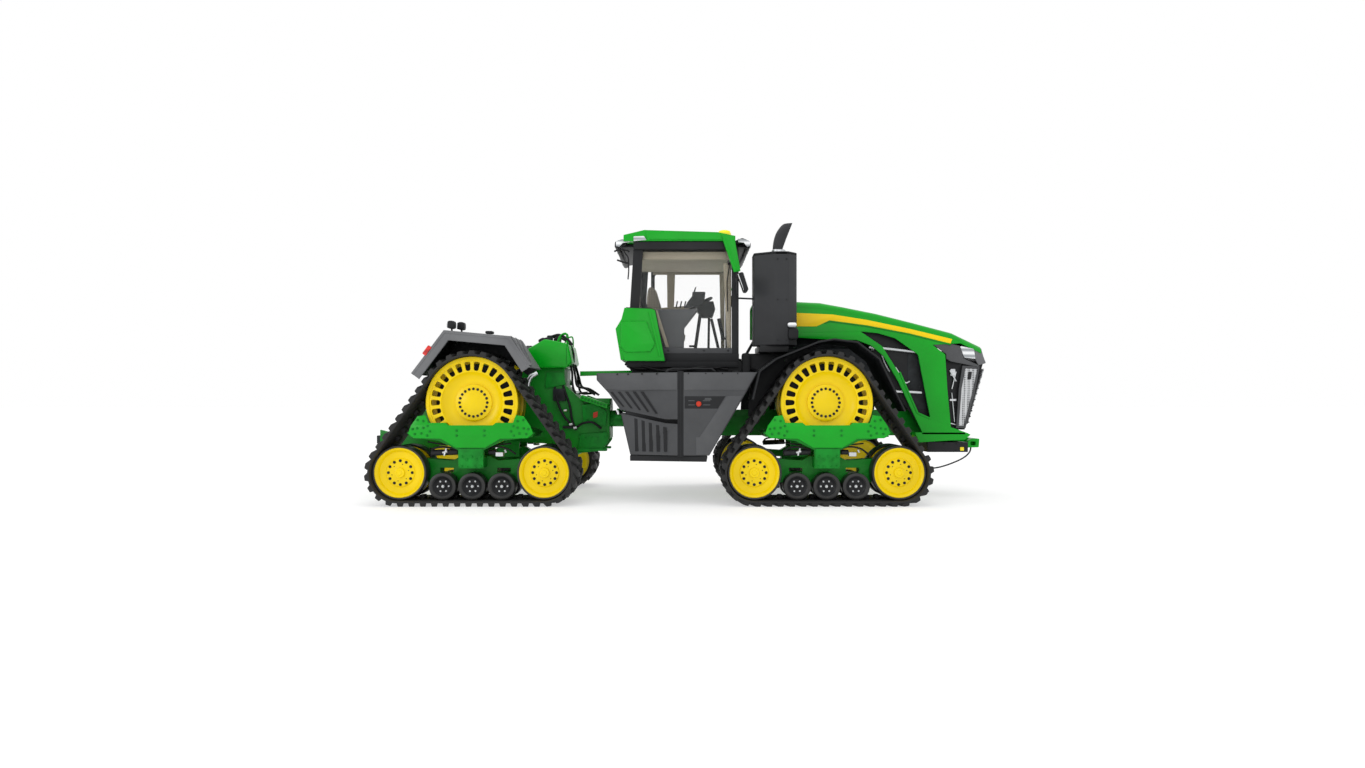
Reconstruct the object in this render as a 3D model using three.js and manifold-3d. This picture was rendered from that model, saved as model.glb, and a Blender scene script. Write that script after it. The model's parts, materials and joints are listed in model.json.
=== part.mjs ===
// A four-track articulated farm tractor, in millimetres.
// +X is forward, +Z is up, and the origin is on the ground in the middle of the outline.
// The front half carries the engine, cab and tanks. The rear half follows it through a yoke that steers
// about a vertical pin and lets the two halves roll against each other.
import * as THREE from "three";
import { mergeVertices } from "three/addons/utils/BufferGeometryUtils.js";
import Module from "manifold-3d";

const wasm = await Module();
wasm.setup();

// ---- overall ----
const FRONT_AXLE_X = 1966;
const WHEELBASE = 4660;
const REAR_AXLE_X = FRONT_AXLE_X - WHEELBASE;
const NOSE_TIP = FRONT_AXLE_X + 2500;
const DRAWBAR_TIP = REAR_AXLE_X - 1772;
const GAUGE = 2238; // between the belts' centre lines
const AXLE_HEIGHT = 1357;
const FIT = 0.3; // between pieces that touch
const RUNNING = 3; // round faces that turn in each other, corner to flat

// ---- track unit ----
const BELT_WIDTH = 762;
const BELT_SKIN = 27;
const LUG_HEIGHT = 45;
const LUG_COUNT = 32;
const BELT_GAP = 3; // belt to rubber tyre
const DRIVE_RADIUS = 606;
const DRIVE_HALF_WIDTH = 285;
const DRIVE_WINDOWS = 18;
const IDLER_RADIUS = 360;
const IDLER_REACH = 950; // idler axle ahead of, or behind, the drive axle
const ROLLER_RADIUS = 180;
const ROLLER_PITCH = 387;
const WHEEL_OUTER_FACE = 300; // idlers and rollers, from the belt's centre line
const WHEEL_GROOVE = 100; // half the groove between a wheel pair's two discs
const IDLER_AXLE_RADIUS = 70;
const ROLLER_AXLE_RADIUS = 55;
const CRADLE_THICKNESS = 30;
const CRADLE_CLEARANCE = 10; // plate to drive wheel

// ---- axles and frames ----
const AXLE_TUBE_RADIUS = 165;
const FRAME_HALF_WIDTH = 300;
const FRAME_BOTTOM = 880;
const FRAME_TOP = 1250;
const NECK_HALF_WIDTH = 170; // where the front frame narrows for the steering cylinders
const FRONT_FRAME_END = 3950;
const REAR_FRAME_END = REAR_AXLE_X - 1456;

// ---- articulation ----
const STEER_X = -620;
const STEER_PIN_RADIUS = 50;
const LUG_LOW = [840, 885];
const LUG_HIGH = [1350, 1395];
const NECK_SETBACK = 230; // front frame's end to the steering pin
const ROLL_HEIGHT = 1120;
const ROLL_TUBE_RADIUS = 120;
const ROLL_TUBE_END = -1330;
const BEARING_X = [-1420, -990];

// ---- steering cylinders ----
const CYLINDER_BASE = [404, 311]; // from the steering pin, on the front frame
const CYLINDER_EYE = [-242, 212]; // from the steering pin, on the yoke
const CYLINDER_HEIGHT = 1215;
const BARREL_RADIUS = 55;
const BARREL_LENGTH = 400;
const BARREL_EYE_RADIUS = 62;
const ROD_RADIUS = 28;
const EYE_RADIUS = 76;
const EYE_PIN_RADIUS = 25;
const EYE_CLEARANCE = 27; // the rod's eye is loose on its pin
const EYE_THICKNESS = 60;
const COLLAR_RADIUS = 45; // stands a cylinder's eye off its ear

// ---- cab ----
const CAB_HALF_WIDTH = 860;
const CAB_FLOOR = [1850, 1956];
const CAB_TOP = [3461, 3580];
const CAB_FRONT = 850;
const CAB_BACK_TOP = -605;
const CAB_BACK_BOTTOM = -700;
const PILLAR = 95;
const GLASS_THICKNESS = 8;
const ROOF_TOP = 3730;
const ROOF_OVERHANG = 60;

// ---- hood ----
const HOOD_HALF_WIDTH = 520;
const HOOD_SKIN = 22;
const HOOD_BACK = 1120;
const HOOD_TOP_BACK = 2820;
const NOSE_TOP = [4378, 2167];
const STACK_X = [1047, 1636];
const STACK_Y = [-1100, -700];
const STACK_Z = [2139, 3401];

// ---- tanks and fenders ----
const TANK_INNER = 620;
const TANK_OUTER = 1350;
const TANK_BOTTOM = 574;
const TANK_TOP = 1759;
const TANK_TAPER_START = -60;
const TANK_TAPER = 0.34; // how fast the outer face closes in towards the back
const FENDER_SKIN = 20;
const FENDER_LIP = 130;
const FENDER_INNER = 700;
const FRONT_FENDER_OUTER = GAUGE / 2 + 311;
const REAR_FENDER_OUTER = GAUGE / 2 + 381;
const FRONT_FENDER_LINE = [
  [985, 1400],
  [1075, 1775],
  [1300, 1943],
  [1860, 2166],
  [2060, 2200],
  [2373, 2161],
  [2663, 1939],
  [3000, 1250],
];
const REAR_FENDER_LINE = [
  [REAR_AXLE_X - 766, 1740],
  [REAR_AXLE_X - 341, 2302],
  [REAR_AXLE_X + 524, 2223],
  [REAR_AXLE_X + 783, 1825],
];

// ---- finishes ----
const finish = (color, roughness, metalness = 0, extra = {}) => ({ color, roughness, metalness, ...extra });
const GREEN = finish(0x1f8f2f, 0.35);
const DARK_GREEN = finish(0x14692a, 0.45);
const YELLOW = finish(0xf5cf00, 0.4);
const CHARCOAL = finish(0x565759, 0.6);
const BLACK = finish(0x222325, 0.55);
const RUBBER = finish(0x1d1c1f, 0.85);
const STEEL = finish(0xb9bcc0, 0.3, 0.9);
const CAST = finish(0x3b3e40, 0.6, 0.4);
const GLASS = finish(0xbfd6d4, 0.08, 0, { transparent: true, opacity: 0.35 });
const FABRIC = finish(0x8a8378, 0.9);

// ---- geometry helpers ----
const tractor = new THREE.Group();

// Lays (x, y, depth) of an extrusion along three world directions.
const laid = (geometry, x, y, depth) =>
  geometry.applyMatrix4(
    new THREE.Matrix4().makeBasis(new THREE.Vector3(...x), new THREE.Vector3(...y), new THREE.Vector3(...depth)),
  );

const extruded = (points, length) =>
  new THREE.ExtrudeGeometry(new THREE.Shape(points.map(([u, v]) => new THREE.Vector2(u, v))), {
    depth: length,
    bevelEnabled: false,
  });

// A side outline of (x, z) points, from y0 to y1.
const plate = (points, y0, y1) =>
  laid(extruded(points, y1 - y0), [1, 0, 0], [0, 0, 1], [0, -1, 0]).translate(0, y1, 0);

// A plan outline of (x, y) points, from z0 to z1.
const slab = (points, z0, z1) => extruded(points, z1 - z0).translate(0, 0, z0);

// A cross-section of (y, z) points, from x0 to x1.
const section = (points, x0, x1) =>
  laid(extruded(points, x1 - x0), [0, 1, 0], [0, 0, 1], [1, 0, 0]).translate(x0, 0, 0);

const box = ([x0, x1], [y0, y1], [z0, z1]) =>
  new THREE.BoxGeometry(x1 - x0, y1 - y0, z1 - z0).translate((x0 + x1) / 2, (y0 + y1) / 2, (z0 + z1) / 2);

const both = (half) => [-half, half];

// A round bar along Y or Z, or a bore's cutter.
const barY = (radius, y0, y1, sides, x, z) =>
  new THREE.CylinderGeometry(radius, radius, y1 - y0, sides).translate(x, (y0 + y1) / 2, z);
const barZ = (radius, z0, z1, sides, x, y) =>
  new THREE.CylinderGeometry(radius, radius, z1 - z0, sides).rotateX(Math.PI / 2).translate(x, y, (z0 + z1) / 2);
const barX = (radius, x0, x1, sides, y, z) =>
  new THREE.CylinderGeometry(radius, radius, x1 - x0, sides).rotateZ(Math.PI / 2).translate((x0 + x1) / 2, y, z);

// A beam of rectangular section between two points of a side view.
function strut([x0, z0], [x1, z1], width, y0, y1) {
  const along = new THREE.Vector2(x1 - x0, z1 - z0).setLength(width / 2);
  const across = [-along.y, along.x];
  return plate(
    [
      [x0 - across[0], z0 - across[1]],
      [x1 - across[0], z1 - across[1]],
      [x1 + across[0], z1 + across[1]],
      [x0 + across[0], z0 + across[1]],
    ],
    y0,
    y1,
  );
}

// A band of constant thickness under an open line of (x, z) points that runs from back to front.
function bandUnder(line, thickness) {
  const points = line.map(([x, z]) => new THREE.Vector2(x, z));
  const inner = points.map((point, i) => {
    const before = points[Math.max(i - 1, 0)];
    const after = points[Math.min(i + 1, points.length - 1)];
    const a = i > 0 ? point.clone().sub(before).normalize() : after.clone().sub(point).normalize();
    const b = i < points.length - 1 ? after.clone().sub(point).normalize() : a.clone();
    const normal = new THREE.Vector2(a.y + b.y, -a.x - b.x).normalize();
    const stretch = thickness / (normal.x * a.y - normal.y * a.x);
    return point.clone().addScaledVector(normal, stretch);
  });
  return [...points, ...inner.reverse()].map((point) => [point.x, point.y]);
}

// ---- solids ----
function solid(geometry) {
  const bare = geometry.clone();
  bare.deleteAttribute("normal");
  bare.deleteAttribute("uv");
  const merged = mergeVertices(bare, 1e-3);
  return new wasm.Manifold(
    new wasm.Mesh({
      numProp: 3,
      vertProperties: merged.attributes.position.array,
      triVerts: new Uint32Array(merged.index.array),
    }),
  );
}

const join = (...geometries) => geometries.map(solid).reduce((sum, next) => sum.add(next));
const cut = (body, ...geometries) => geometries.map(solid).reduce((rest, next) => rest.subtract(next), body);

function geometryOf(body) {
  const mesh = body.getMesh();
  const geometry = new THREE.BufferGeometry();
  geometry.setAttribute("position", new THREE.BufferAttribute(mesh.vertProperties.slice(), 3));
  geometry.setIndex(new THREE.BufferAttribute(mesh.triVerts.slice(), 1));
  geometry.computeVertexNormals();
  return geometry;
}

function piece(parent, name, shape, look) {
  const geometry = shape.isBufferGeometry ? shape : geometryOf(shape);
  const mesh = new THREE.Mesh(geometry, new THREE.MeshStandardMaterial(look));
  mesh.name = name;
  parent.add(mesh);
  return mesh;
}

// A wheel turned about Y from (radius, y) points, going from -Y to +Y round the outside.
function turned(points, sides) {
  const profile = points.map(([r, y]) => new THREE.Vector2(r, y));
  return new THREE.LatheGeometry(profile, sides);
}

// ---- belt path ----
// The three wheels that stretch the belt, counter-clockwise in a side view, from the drive axle.
const IDLER_DROP = AXLE_HEIGHT - LUG_HEIGHT - BELT_SKIN - BELT_GAP - IDLER_RADIUS;
const ROLLER_DROP = AXLE_HEIGHT - LUG_HEIGHT - BELT_SKIN - BELT_GAP - ROLLER_RADIUS;
const STRETCHERS = [
  { x: 0, z: 0, r: DRIVE_RADIUS + 1 },
  { x: -IDLER_REACH, z: -IDLER_DROP, r: IDLER_RADIUS },
  { x: IDLER_REACH, z: -IDLER_DROP, r: IDLER_RADIUS },
];

// Direction of the outward normal of the straight run from wheel a to wheel b.
function runNormal(a, b) {
  const span = Math.hypot(b.x - a.x, b.z - a.z);
  const heading = Math.atan2(b.z - a.z, b.x - a.x);
  return heading - Math.acos((a.r - b.r) / span);
}

// Arcs and straight runs of the belt at an offset from the wheels.
function beltPath(offset) {
  const normals = STRETCHERS.map((wheel, i) => runNormal(wheel, STRETCHERS[(i + 1) % 3]));
  return STRETCHERS.flatMap((wheel, i) => {
    const next = STRETCHERS[(i + 1) % 3];
    const radius = wheel.r + offset;
    const from = normals[(i + 2) % 3];
    const turn = (normals[i] - from + 4 * Math.PI) % (2 * Math.PI);
    const straight = Math.sqrt((next.x - wheel.x) ** 2 + (next.z - wheel.z) ** 2 - (wheel.r - next.r) ** 2);
    return [
      { wheel, radius, from, turn, length: radius * turn },
      { wheel, radius, from: from + turn, turn: 0, length: straight },
    ];
  });
}

// A point of the belt, at a distance along its path and a height above it.
function beltPoint(path, distance, height) {
  const total = path.reduce((sum, part) => sum + part.length, 0);
  let rest = ((distance % total) + total) % total;
  const part = path.find((candidate) => {
    if (rest <= candidate.length) return true;
    rest -= candidate.length;
    return false;
  });
  const angle = part.turn ? part.from + rest / part.radius : part.from;
  const reach = part.radius + height;
  const slide = part.turn ? 0 : rest;
  return [
    part.wheel.x + reach * Math.cos(angle) - slide * Math.sin(angle),
    part.wheel.z + reach * Math.sin(angle) + slide * Math.cos(angle),
  ];
}

// The belt's inside, drawn round the outside of its arcs so that the round wheels stay clear.
function beltInside() {
  const step = Math.PI / 13;
  return beltPath(BELT_GAP)
    .filter((part) => part.turn)
    .flatMap(({ wheel, radius, from, turn }) => {
      const count = Math.ceil(turn / step);
      const half = turn / count / 2;
      const at = (angle, r) => [wheel.x + r * Math.cos(angle), wheel.z + r * Math.sin(angle)];
      const reach = radius / Math.cos(half);
      const corners = Array.from({ length: count }, (_, k) => at(from + (2 * k + 1) * half, reach));
      return [at(from, radius), ...corners, at(from + turn, radius)];
    });
}

function beltGeometry() {
  const path = beltPath(BELT_GAP + BELT_SKIN);
  const total = path.reduce((sum, part) => sum + part.length, 0);
  const pitch = total / LUG_COUNT;
  const profile = [
    [0, 0],
    [0.1, LUG_HEIGHT],
    [0.4, LUG_HEIGHT],
    [0.5, 0],
  ];
  const outside = Array.from({ length: LUG_COUNT }, (_, lug) =>
    profile.map(([share, height]) => beltPoint(path, (lug + share) * pitch, height)),
  ).flat();
  const floor = -AXLE_HEIGHT; // the lugs stand on the ground
  const shape = new THREE.Shape(outside.map(([x, z]) => new THREE.Vector2(x, Math.max(z, floor))));
  shape.holes.push(new THREE.Path(beltInside().map(([x, z]) => new THREE.Vector2(x, z))));
  const loop = new THREE.ExtrudeGeometry(shape, { depth: BELT_WIDTH, bevelEnabled: false });
  return laid(loop, [1, 0, 0], [0, 0, 1], [0, -1, 0]).translate(0, BELT_WIDTH / 2, 0);
}

// ---- wheels of a track unit; -Y is outboard ----
const HUB_RADIUS = 185;
const AXLE_TUBE_END = 150; // from the belt's centre line, inboard
const WINDOW_RING = [482, 560];
const WINDOW_WIDTH = 72;

function driveWheelGeometry() {
  const face = -DRIVE_HALF_WIDTH;
  const wheel = turned(
    [
      [0, face + 5],
      [HUB_RADIUS - 45, face + 5],
      [HUB_RADIUS, face + 60],
      [WINDOW_RING[0] - 20, face + 25],
      [DRIVE_RADIUS, face],
      [DRIVE_RADIUS, DRIVE_HALF_WIDTH - 15],
      [DRIVE_RADIUS - 30, DRIVE_HALF_WIDTH - 15],
      [DRIVE_RADIUS - 30, face + 45],
      [HUB_RADIUS, face + 90],
      [HUB_RADIUS, AXLE_TUBE_END - 5],
      [0, AXLE_TUBE_END - 5],
    ],
    24,
  );
  const windows = Array.from({ length: DRIVE_WINDOWS }, (_, i) =>
    box(WINDOW_RING, [face - 20, face + 80], both(WINDOW_WIDTH / 2)).rotateY((i * 2 * Math.PI) / DRIVE_WINDOWS),
  );
  return cut(solid(wheel), ...windows);
}

// Two discs on one axle, with a groove between them for the beam and the belt's guides.
function spool(radius, axleRadius, dish, dishRadius, sides) {
  const face = -WHEEL_OUTER_FACE;
  const outer = dish
    ? [
        [0, face + dish],
        [dishRadius, face + dish],
        [radius - 35, face],
      ]
    : [[0, face]];
  return turned(
    [
      ...outer,
      [radius, face],
      [radius, -WHEEL_GROOVE],
      [axleRadius, -WHEEL_GROOVE],
      [axleRadius, WHEEL_GROOVE],
      [radius, WHEEL_GROOVE],
      [radius, WHEEL_OUTER_FACE],
      [0, WHEEL_OUTER_FACE],
    ],
    sides,
  );
}

// ---- undercarriage frame ----
function undercarriage() {
  const beamHalf = WHEEL_GROOVE - 6;
  const boss = ROLLER_AXLE_RADIUS + 45;
  const hanger = (x) => [
    [x - boss, -ROLLER_DROP + 40],
    [x - boss * 0.6, -ROLLER_DROP - boss * 0.8],
    [x + boss * 0.6, -ROLLER_DROP - boss * 0.8],
    [x + boss, -ROLLER_DROP + 40],
  ];
  const nose = (side) => [
    [side * (IDLER_REACH - 60), -IDLER_DROP - 150],
    [side * (IDLER_REACH + 110), -IDLER_DROP - 110],
    [side * (IDLER_REACH + 150), -IDLER_DROP + 40],
    [side * (IDLER_REACH - 60), -IDLER_DROP + 190],
  ];
  const beam = plate(
    [
      ...nose(-1).reverse(),
      ...[-ROLLER_PITCH, 0, ROLLER_PITCH].flatMap(hanger),
      ...nose(1),
      [300, -IDLER_DROP + 150],
      [190, -IDLER_DROP + 210],
      [-190, -IDLER_DROP + 210],
      [-300, -IDLER_DROP + 150],
    ].reverse(),
    -beamHalf,
    beamHalf,
  );
  const plateOut = -DRIVE_HALF_WIDTH - CRADLE_CLEARANCE - CRADLE_THICKNESS;
  const cradle = (y) =>
    plate(
      [
        [-840, -395],
        [-590, -300],
        [590, -300],
        [840, -395],
        [770, -455],
        [420, -500],
        [170, -620],
        [165, -IDLER_DROP + 60],
        [-165, -IDLER_DROP + 60],
        [-170, -620],
        [-420, -500],
        [-770, -455],
      ].reverse(),
      y,
      y + CRADLE_THICKNESS,
    );
  const inner = DRIVE_HALF_WIDTH + CRADLE_CLEARANCE;
  const ring = barY(AXLE_TUBE_RADIUS + 65, inner, inner + CRADLE_THICKNESS + 20, 14, 0, 0);
  const arm = plate(
    [
      [-190, -60],
      [190, -60],
      [420, -340],
      [-420, -340],
    ].reverse(),
    inner,
    inner + CRADLE_THICKNESS,
  );
  const beams = [-1, 1].map((side) =>
    box([side * 735 - 70, side * 735 + 70], [plateOut + 5, inner + 5], [-450, -370]),
  );
  const tongue = box(both(160), [plateOut + 5, inner + 5], [-IDLER_DROP + 65, -IDLER_DROP + 205]);
  const bores = [
    ...[-1, 1].map((side) => [side * IDLER_REACH, -IDLER_DROP, IDLER_AXLE_RADIUS]),
    ...[-1, 0, 1].map((place) => [place * ROLLER_PITCH, -ROLLER_DROP, ROLLER_AXLE_RADIUS]),
  ].map(([x, z, radius]) => barY(radius + RUNNING, -beamHalf - 5, beamHalf + 5, 12, x, z));
  const slots = [-1, 1].map((side) =>
    box([side * 380 - 90, side * 380 + 90], both(beamHalf + 5), [-IDLER_DROP - 10, -IDLER_DROP + 50]),
  );
  return cut(
    join(beam, cradle(plateOut), cradle(inner), ring, arm, ...beams, tongue),
    ...bores,
    ...slots,
    barY(AXLE_TUBE_RADIUS + 2 * RUNNING, inner - 5, inner + CRADLE_THICKNESS + 25, 20, 0, 0),
  );
}

// Turns a unit so that its outboard side faces away from the tractor.
function trackUnit(end, side) {
  const unit = new THREE.Group();
  const outward = side === "right" ? -1 : 1;
  const ahead = side === "right" ? 1 : -1;
  unit.position.set(end === "front" ? FRONT_AXLE_X : REAR_AXLE_X, (outward * GAUGE) / 2, AXLE_HEIGHT);
  unit.rotation.z = side === "right" ? 0 : Math.PI;
  const name = (what) => `${what}_${end}_${side}`;
  piece(unit, name("undercarriage"), undercarriage(), GREEN);
  piece(unit, name("drive_wheel"), driveWheelGeometry(), YELLOW);
  piece(unit, name("belt"), beltGeometry(), RUBBER);
  for (const [place, reach] of [["fore", IDLER_REACH], ["aft", -IDLER_REACH]]) {
    const idler = spool(IDLER_RADIUS, IDLER_AXLE_RADIUS, 50, 130, 16);
    piece(unit, name(`idler_${place}`), idler, YELLOW).position.set(ahead * reach, 0, -IDLER_DROP);
  }
  for (const place of [1, 2, 3]) {
    const roller = spool(ROLLER_RADIUS, ROLLER_AXLE_RADIUS, 0, 0, 12);
    piece(unit, name(`midroller_${place}`), roller, RUBBER).position.set(
      ahead * (2 - place) * ROLLER_PITCH,
      0,
      -ROLLER_DROP,
    );
  }
  tractor.add(unit);
}

// ---- chassis pieces ----
const DIFFERENTIAL_HALF_LENGTH = 260;
const DIFFERENTIAL_TOP = AXLE_HEIGHT + 230;

const axleHousing = (x) => {
  const reach = GAUGE / 2 - AXLE_TUBE_END;
  return [
    barY(AXLE_TUBE_RADIUS, -reach, reach, 20, x, AXLE_HEIGHT),
    box(
      [x - DIFFERENTIAL_HALF_LENGTH, x + DIFFERENTIAL_HALF_LENGTH],
      both(FRAME_HALF_WIDTH + 60),
      [AXLE_HEIGHT - 260, DIFFERENTIAL_TOP],
    ),
  ];
};

// A bracket that ends just under a fender's sloping top sheet, between two of its corners.
function fenderBracket([ax, az], [bx, bz], [x0, x1], bottom, y0, y1) {
  const slope = (bz - az) / (bx - ax);
  const under = (x) => az + (x - ax) * slope - FENDER_SKIN * Math.hypot(1, slope) - FIT;
  const outline = [
    [x0, bottom],
    [x1, bottom],
    [x1, under(x1)],
    [x0, under(x0)],
  ];
  return plate(outline, y0, y1);
}

const DECK_Z = [1765, 1845]; // carries the cab and the tanks
const DECK_X = [-640, 860];
const DECK_HALF_WIDTH = 700;
const STACK_SHELF = 90;

function frontFrame() {
  const webEnd = STEER_X + NECK_SETBACK;
  const rail = box([0, FRONT_FRAME_END], both(FRAME_HALF_WIDTH), [FRAME_BOTTOM, FRAME_TOP]);
  const neck = box([webEnd, 50], both(NECK_HALF_WIDTH), [LUG_LOW[0], LUG_HIGH[1]]);
  const lugs = [LUG_LOW, LUG_HIGH].map(([low, high]) =>
    slab(
      [
        [webEnd + 20, -NECK_HALF_WIDTH],
        [webEnd + 20, NECK_HALF_WIDTH],
        [STEER_X, 105],
        [STEER_X - 80, 60],
        [STEER_X - 80, -60],
        [STEER_X, -105],
      ].reverse(),
      low,
      high,
    ),
  );
  const pinBores = [LUG_LOW, LUG_HIGH].map(([low, high]) =>
    barZ(STEER_PIN_RADIUS + RUNNING, low - 5, high + 5, 12, STEER_X, 0),
  );
  const earX = STEER_X + CYLINDER_BASE[0];
  const earTop = CYLINDER_HEIGHT - BARREL_RADIUS - 5;
  const eyeUnderside = CYLINDER_HEIGHT - EYE_THICKNESS / 2 - FIT;
  const ears = [-1, 1].flatMap((side) => [
    box([earX - 60, earX + 60], [side * 250 - 130, side * 250 + 130], [earTop - 50, earTop]),
    barZ(COLLAR_RADIUS, earTop - 10, eyeUnderside, 12, earX, side * CYLINDER_BASE[1]),
    barZ(EYE_PIN_RADIUS, earTop - 10, eyeUnderside + EYE_THICKNESS + 20, 12, earX, side * CYLINDER_BASE[1]),
  ]);
  const deck = box(DECK_X, both(DECK_HALF_WIDTH), DECK_Z);
  const posts = [
    box([-250, -130], both(FRAME_HALF_WIDTH), [1300, DECK_Z[0] + 10]),
    box([-250, 10], both(NECK_HALF_WIDTH), [1290, 1420]),
    box([620, 760], both(FRAME_HALF_WIDTH), [FRAME_TOP - 10, DECK_Z[0] + 10]),
  ];
  const hangers = [-1, 1].map((side) =>
    box([520, 640], [side * 440 - 180 + FIT, side * 440 + 180 - FIT], [1000, 1120]),
  );
  const shelf = box(
    [STACK_X[0] + 80, STACK_X[1] - 120],
    [STACK_Y[0] + 80, -280],
    [STACK_Z[0] - STACK_SHELF, STACK_Z[0] - FIT],
  );
  const shelfPost = box([1200, 1320], [-420, -280], [FRAME_TOP - 10, STACK_Z[0] - 20]);
  const armX = [1500, 1580];
  const [, , from, to] = FRONT_FENDER_LINE;
  const fenderArms = [-1, 1].map((side) => {
    const [near, far] = [side * 290, side * (FENDER_INNER + 60)];
    return fenderBracket(from, to, armX, 1930, Math.min(near, far), Math.max(near, far));
  });
  const armPosts = [-1, 1].map((side) => box(armX, [side * 350 - 70, side * 350 + 70], [FRAME_TOP - 10, 1950]));
  const skid = plate(
    [
      [FRONT_FRAME_END - 500, 790],
      [4100, 830],
      [4180, 900],
      [4120, 930],
      [FRONT_FRAME_END - 560, 930],
    ].reverse(),
    -HOOD_HALF_WIDTH,
    HOOD_HALF_WIDTH,
  );
  const bumper = box([3573, 4146], both(500), [651, 792]);
  const tow = plate(
    [
      [4050, 700],
      [4391, 705],
      [4420, 770],
      [4391, 831],
      [4050, 860],
    ].reverse(),
    -110,
    110,
  );
  const towEye = barZ(30, 640, 900, 12, 4340, 0);
  return cut(
    join(
      rail,
      neck,
      ...lugs,
      ...ears,
      deck,
      ...posts,
      ...hangers,
      shelf,
      shelfPost,
      ...fenderArms,
      ...armPosts,
      skid,
      bumper,
      tow,
      ...axleHousing(FRONT_AXLE_X),
    ),
    ...pinBores,
    towEye,
  );
}

function yoke() {
  const half = 85;
  const block = box([STEER_X - 125, STEER_X + half], both(half), [LUG_LOW[1] + 5, LUG_HIGH[0] - 5]);
  const pin = barZ(STEER_PIN_RADIUS, LUG_LOW[0] - 20, LUG_HIGH[1] + 20, 12, STEER_X, 0);
  const tube = barX(ROLL_TUBE_RADIUS, ROLL_TUBE_END, STEER_X - 100, 20, 0, ROLL_HEIGHT);
  const eyeX = STEER_X + CYLINDER_EYE[0];
  const earTop = CYLINDER_HEIGHT - EYE_THICKNESS / 2 - 5;
  const ears = box([eyeX - 45, eyeX + 45], both(CYLINDER_EYE[1] + 55), [earTop - 55, earTop]);
  const pins = [-1, 1].map((side) =>
    barZ(EYE_PIN_RADIUS, earTop - 10, earTop + EYE_THICKNESS + 30, 12, eyeX, side * CYLINDER_EYE[1]),
  );
  return join(block, pin, tube, ears, ...pins);
}

const REAR_DECK = 1857;

function rearFrame() {
  const bearing = section(
    [
      [-FRAME_HALF_WIDTH, 830],
      [FRAME_HALF_WIDTH, 830],
      [FRAME_HALF_WIDTH, 1300],
      [FRAME_HALF_WIDTH - 110, 1420],
      [-FRAME_HALF_WIDTH + 110, 1420],
      [-FRAME_HALF_WIDTH, 1300],
    ],
    ...BEARING_X,
  );
  const wall = plate(
    [
      [BEARING_X[0] + 60, 840],
      [BEARING_X[0] + 60, 1365],
      [-1640, 1610],
      [-1640, REAR_DECK],
      [-2240, REAR_DECK],
      [-2300, 1500],
      [REAR_AXLE_X - 606, FRAME_TOP + 60],
      [REAR_AXLE_X - 1186, FRAME_TOP - 40],
      [REAR_AXLE_X - 1396, 1050],
      [REAR_FRAME_END, 960],
      [REAR_FRAME_END, 700],
      [REAR_AXLE_X - 806, 700],
      [REAR_AXLE_X - 606, 860],
      [-1900, 760],
      [-1500, 590],
      [-1440, 600],
    ],
    -FRAME_HALF_WIDTH,
    FRAME_HALF_WIDTH,
  );
  const hollow = box([REAR_AXLE_X - 726, REAR_AXLE_X - 366], both(FRAME_HALF_WIDTH - 40), [960, 1700]);
  const mastX = [REAR_AXLE_X - 306, REAR_AXLE_X - 206];
  const [, from, to] = REAR_FENDER_LINE;
  const mast = [-1, 1].map((side) => {
    const [near, far] = [side * 200, side * (FENDER_INNER + 60)];
    return fenderBracket(from, to, mastX, 2180, Math.min(near, far), Math.max(near, far));
  });
  const mastPost = [-1, 1].map((side) => box(mastX, [side * 250 - 50, side * 250 + 50], [FRAME_TOP, 2190]));
  const hitch = [-1, 1].map((side) =>
    plate(
      [
        [REAR_FRAME_END + 60, 900],
        [REAR_FRAME_END - 180, 960],
        [REAR_FRAME_END - 180, 760],
        [REAR_FRAME_END + 60, 700],
      ],
      side * 250 - 25,
      side * 250 + 25,
    ),
  );
  const drawbarSlot = box([REAR_FRAME_END - 350, DRAWBAR_PIVOT + 140], both(DRAWBAR_SWING_HALF), DRAWBAR_SLOT);
  const pivot = barZ(DRAWBAR_PIN_RADIUS, DRAWBAR_SLOT[0] - 5, DRAWBAR_SLOT[1] + 5, 12, DRAWBAR_PIVOT, 0);
  return cut(
    join(bearing, wall, ...mast, ...mastPost, ...hitch, ...axleHousing(REAR_AXLE_X)),
    barX(ROLL_TUBE_RADIUS + 2 * RUNNING, BEARING_X[0] + 30, BEARING_X[1] + 10, 20, 0, ROLL_HEIGHT),
    hollow,
    drawbarSlot,
  ).add(solid(pivot));
}

// ---- drawbar ----
const DRAWBAR_PIVOT = REAR_AXLE_X - 1086;
const DRAWBAR_PIN_RADIUS = 28;
const DRAWBAR_HALF_WIDTH = 50;
const DRAWBAR_THICKNESS = 56;
const DRAWBAR_SLOT = [745, 813];
const DRAWBAR_SWING_HALF = 215;

function drawbar() {
  const middle = (DRAWBAR_SLOT[0] + DRAWBAR_SLOT[1]) / 2;
  const z = [middle - DRAWBAR_THICKNESS / 2, middle + DRAWBAR_THICKNESS / 2];
  const bar = box([DRAWBAR_TIP, DRAWBAR_PIVOT + 80], both(DRAWBAR_HALF_WIDTH), z);
  const clevis = box([DRAWBAR_TIP, DRAWBAR_TIP + 150], both(DRAWBAR_HALF_WIDTH), [z[1] - 5, z[1] + 60]);
  return cut(
    join(bar, clevis),
    barZ(DRAWBAR_PIN_RADIUS + RUNNING, z[0] - 5, z[1] + 5, 12, DRAWBAR_PIVOT, 0),
    barZ(26, z[0] - 5, z[1] + 70, 12, DRAWBAR_TIP + 60, 0),
  );
}

function hydraulicTank() {
  return plate(
    [
      [-2207, 2101],
      [-1910, 2272],
      [-1739, 2242],
      [-1575, 2202],
      [-1520, 1937],
      [-1600, REAR_DECK + FIT],
      [-2180, REAR_DECK + FIT],
    ].reverse(),
    -420,
    420,
  );
}

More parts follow.
